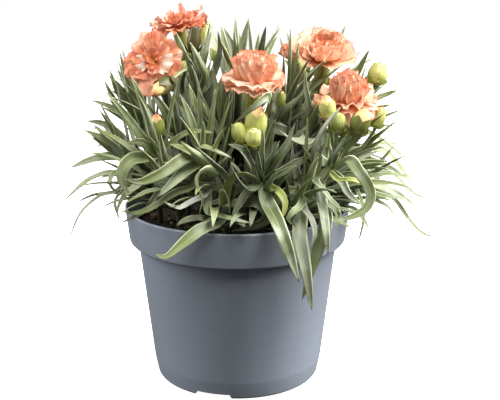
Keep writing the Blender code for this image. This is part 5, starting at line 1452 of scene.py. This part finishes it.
def add_pot(paint):
    """The moulded pot, turned from its profile with the edges rounded, then cut."""
    profile = rounded(pot_profile())
    mesh = bpy.data.meshes.new("pot_fine")
    mesh.from_pydata([(p.x, 0, p.y) for p in profile], [(i, i + 1) for i in range(len(profile) - 1)], [])
    mesh.materials.append(paint)
    pot = put_in_scene("pot_fine", mesh)
    screw = pot.modifiers.new("turn", "SCREW")
    screw.steps = screw.render_steps = POT_SIDES
    screw.use_merge_vertices = True
    screw.merge_threshold = 0.00001
    cutter = pot_cutter()
    boolean = pot.modifiers.new("cut", "BOOLEAN")
    boolean.operation = "DIFFERENCE"
    boolean.object = cutter
    bpy.context.view_layer.update()
    graph = bpy.context.evaluated_depsgraph_get()
    cut_mesh = bpy.data.meshes.new_from_object(pot.evaluated_get(graph))
    pot.modifiers.clear()
    pot.data = cut_mesh
    bpy.data.objects.remove(cutter)
    cut_mesh.shade_smooth()
    cut_mesh.set_sharp_from_angle(angle=SMOOTH_BELOW)
    declare(pot, "pot_plastic", "pot")


def soil_height(x, y):
    """The soil's surface: crowned, with crumbs and a dished edge."""
    r = math.hypot(x, y)
    crown = SOIL_EDGE + (SOIL_CROWN - SOIL_EDGE) * (1 - (r / SOIL_RADIUS) ** 2)
    lumps = noise.noise(Vector((x * LUMPS[0], y * LUMPS[0], 0.3))) * LUMPS[1]
    crumbs = noise.fractal(Vector((x * CRUMBS[0], y * CRUMBS[0], 1.7)), 0.8, 2.1, 3) * CRUMBS[1]
    return crown + lumps + crumbs - SUNK


def circle(radius, count):
    """Points (x, y) round a circle."""
    turns = [math.tau * k / count for k in range(count)]
    return [(math.cos(turn) * radius, math.sin(turn) * radius) for turn in turns]


def add_soil(paint):
    """The peat: a crumbly crowned surface over the block that fills the pot, with bark chips on it."""
    chance = random.Random(SOIL_SEED)
    build = Build()
    rows = []
    for i in range(1, SOIL_RINGS + 1):
        places, tints = [], []
        for x, y in circle(SOIL_RADIUS * i / SOIL_RINGS, SOIL_SIDES):
            z = soil_height(x, y) if i < SOIL_RINGS else SOIL_EDGE - SOIL_LIP
            far = math.hypot(x - MOSS_PLACE.x, y - MOSS_PLACE.y)
            specks = 0.5 * max(0.0, noise.noise(Vector((x * 60, y * 60, 5))))
            moss = max(0.0, 1 - far / MOSS_RADIUS) * 1.6 + specks
            places.append((x, y, z))
            tints.append((0, min(1.0, moss), 0, 0))
        rows.append(build.ring(places, tints))
    for r, z in soil_side():
        places = [(x, y, z) for x, y in circle(r, SOIL_SIDES)]
        rows.append(build.ring(places, [(0, 0, 0, 0)] * SOIL_SIDES))
    build.faces.append(tuple(rows[0]))
    build.loft(rows, tip=True)
    for _ in range(BARK_CHIPS):
        add_chip(build, chance)
    build.finish("soil_fine", paint, "peat", "soil")


def add_chip(build, chance):
    """A flake of bark lying on the soil."""
    r, turn = CHIPS_WITHIN * math.sqrt(chance.random()), chance.uniform(0, math.tau)
    x, y = math.cos(turn) * r, math.sin(turn) * r
    long, wide = chance.uniform(0.0012, 0.0036), chance.uniform(0.0008, 0.0018)
    high = chance.uniform(0.0004, 0.0009)
    spin = Quaternion((0, 0, 1), chance.uniform(0, math.tau))
    tip = Quaternion((1, 0, 0), chance.uniform(-0.4, 0.4))
    centre = Vector((x, y, soil_height(x, y) + high * 0.5))
    brown = chance.random()
    rows = []
    for lift, shrink in ((-1, 0.7), (0.2, 1.0), (1, 0.75)):
        places = []
        for k in range(CHIP_SIDES):
            about = math.tau * k / CHIP_SIDES
            jag = chance.uniform(0.75, 1.15) * shrink
            flat = Vector((math.cos(about) * long * jag, math.sin(about) * wide * jag, lift * high))
            places.append(centre + spin @ (tip @ flat))
        rows.append(build.ring(places, [(0, 0, 1, brown)] * CHIP_SIDES))
    build.loft(rows)
    build.faces += [tuple(reversed(rows[0])), tuple(rows[2])]


def extra_leaves(space, stems, leaves):
    """More, smaller leaves between the pairs, where there is still room: too many and fine for the CAD."""
    chance = random.Random(EXTRA_SEED)
    for marks in space.cells.values():
        marks[:] = [(owner, place, reach * CLOSENESS) for owner, place, reach in marks]
    for name, _, _, _, share, turn in SHOOTS:
        owner = "shoot_" + name
        stem = stems[owner]
        for level in range(2, len(stem)):
            age = 1 - (level - 2) / (len(stem) - 3)
            for quarter in range(4):
                about = math.radians(turn + 45 + 90 * quarter + 23 * level)
                size = share * chance.uniform(0.45, 0.9)
                fill_leaf(space, leaves, owner, stem, level, age * 0.9, about, size, chance)
    for shoot, width, places in SEEN_LEAVES:
        stem = stems["shoot_" + shoot]
        points = [seen(*place) for place in places]
        path = [stem[nearest(stem, points[0])], *points]
        line = smooth(path, round(length_of(path) / SAMPLE_STEP))
        leaf = Leaf("shoot_" + shoot, line, TOWARDS_VIEWER + Vector((0, 0, STEMWARD)), width)
        space.takes(leaf)
        leaves.append(leaf)
    for owner, stem in stems.items():
        for level in range(2, len(stem) * 2 // 3):
            for fifth in range(5):
                about = math.tau * fifth / 5 + 0.8 * level
                size = chance.uniform(0.35, 0.80)
                age = chance.uniform(0.1, 0.7)
                fill_leaf(space, leaves, owner, stem, level, age, about, size, chance)


def add_lights():
    for name, place, size, power, colour in LIGHTS:
        lamp = bpy.data.lights.new(name, "AREA")
        lamp.shape = "RECTANGLE"
        lamp.size, lamp.size_y = size
        lamp.energy = power
        lamp.color = colour
        made = put_in_scene(name, lamp)
        made.location = place
        made.rotation_euler = (Vector(LIT_PLACE) - made.location).to_track_quat("-Z", "Y").to_euler()


def add_camera():
    lens = bpy.data.cameras.new("camera")
    lens.sensor_width = SENSOR_WIDTH
    lens.lens = VIEW_FOCAL / (2 * VIEW_CENTRE[0]) * SENSOR_WIDTH
    camera = put_in_scene("camera", lens)
    camera.location = EYE
    camera.rotation_euler = (math.pi / 2 - VIEW_PITCH, 0, -VIEW_YAW)
    bpy.context.scene.camera = camera


def add_surroundings():
    """White all round: full for the camera, and weaker as light."""
    world = bpy.data.worlds.new("white")
    bpy.context.scene.world = world
    world.use_nodes = True
    nodes, links = world.node_tree.nodes, world.node_tree.links
    seen_ray = nodes.new("ShaderNodeLightPath").outputs["Is Camera Ray"]
    strength = nodes.new("ShaderNodeMath")
    strength.operation = "MULTIPLY_ADD"
    links.new(seen_ray, strength.inputs[0])
    strength.inputs[1].default_value = 1.0 - AMBIENT
    strength.inputs[2].default_value = AMBIENT
    links.new(strength.outputs[0], nodes["Background"].inputs["Strength"])
    nodes["Background"].inputs["Color"].default_value = FULL_WHITE


def add_sheet(name, depth, paint):
    """A large flat sheet just under the pot."""
    whole = bmesh.new()
    bmesh.ops.create_grid(whole, x_segments=1, y_segments=1, size=SHEET_REACH)
    sheet = put_whole(name, whole)
    sheet.data.materials.append(paint.material)
    sheet.location = (0, 0, -depth)
    return sheet


def add_studio():
    """White paper that only the camera sees, and a grey card that only the light sees."""
    bpy.context.scene.view_settings.view_transform = "Standard"
    add_surroundings()
    paper = Paint("white_paper", 0.9)
    paper.shader.inputs["Base Color"].default_value = PAPER_WHITE
    paper.shader.inputs["Emission Color"].default_value = FULL_WHITE
    paper.shader.inputs["Emission Strength"].default_value = 1.0
    floor = add_sheet("floor", SHEET_DEPTH, paper)
    floor.visible_diffuse = False
    floor.visible_glossy = False
    shade = Paint("shade_card", 0.9)
    shade.shader.inputs["Base Color"].default_value = CARD_GREY
    card = add_sheet("card", CARD_DEPTH, shade)
    card.visible_camera = False
    add_lights()


def main():
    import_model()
    add_camera()
    add_studio()
    space, stems, stalks, leaves = grow()
    extra_leaves(space, stems, leaves)
    leaf, cup, petal = leaf_paint(), cup_paint(), petal_paint()
    add_shoots(stems, stalks, leaves, leaf)
    add_calyxes(cup)
    add_buds(cup)
    add_corollas(petal)
    add_soil(soil_paint())
    add_pot(pot_paint())


main()
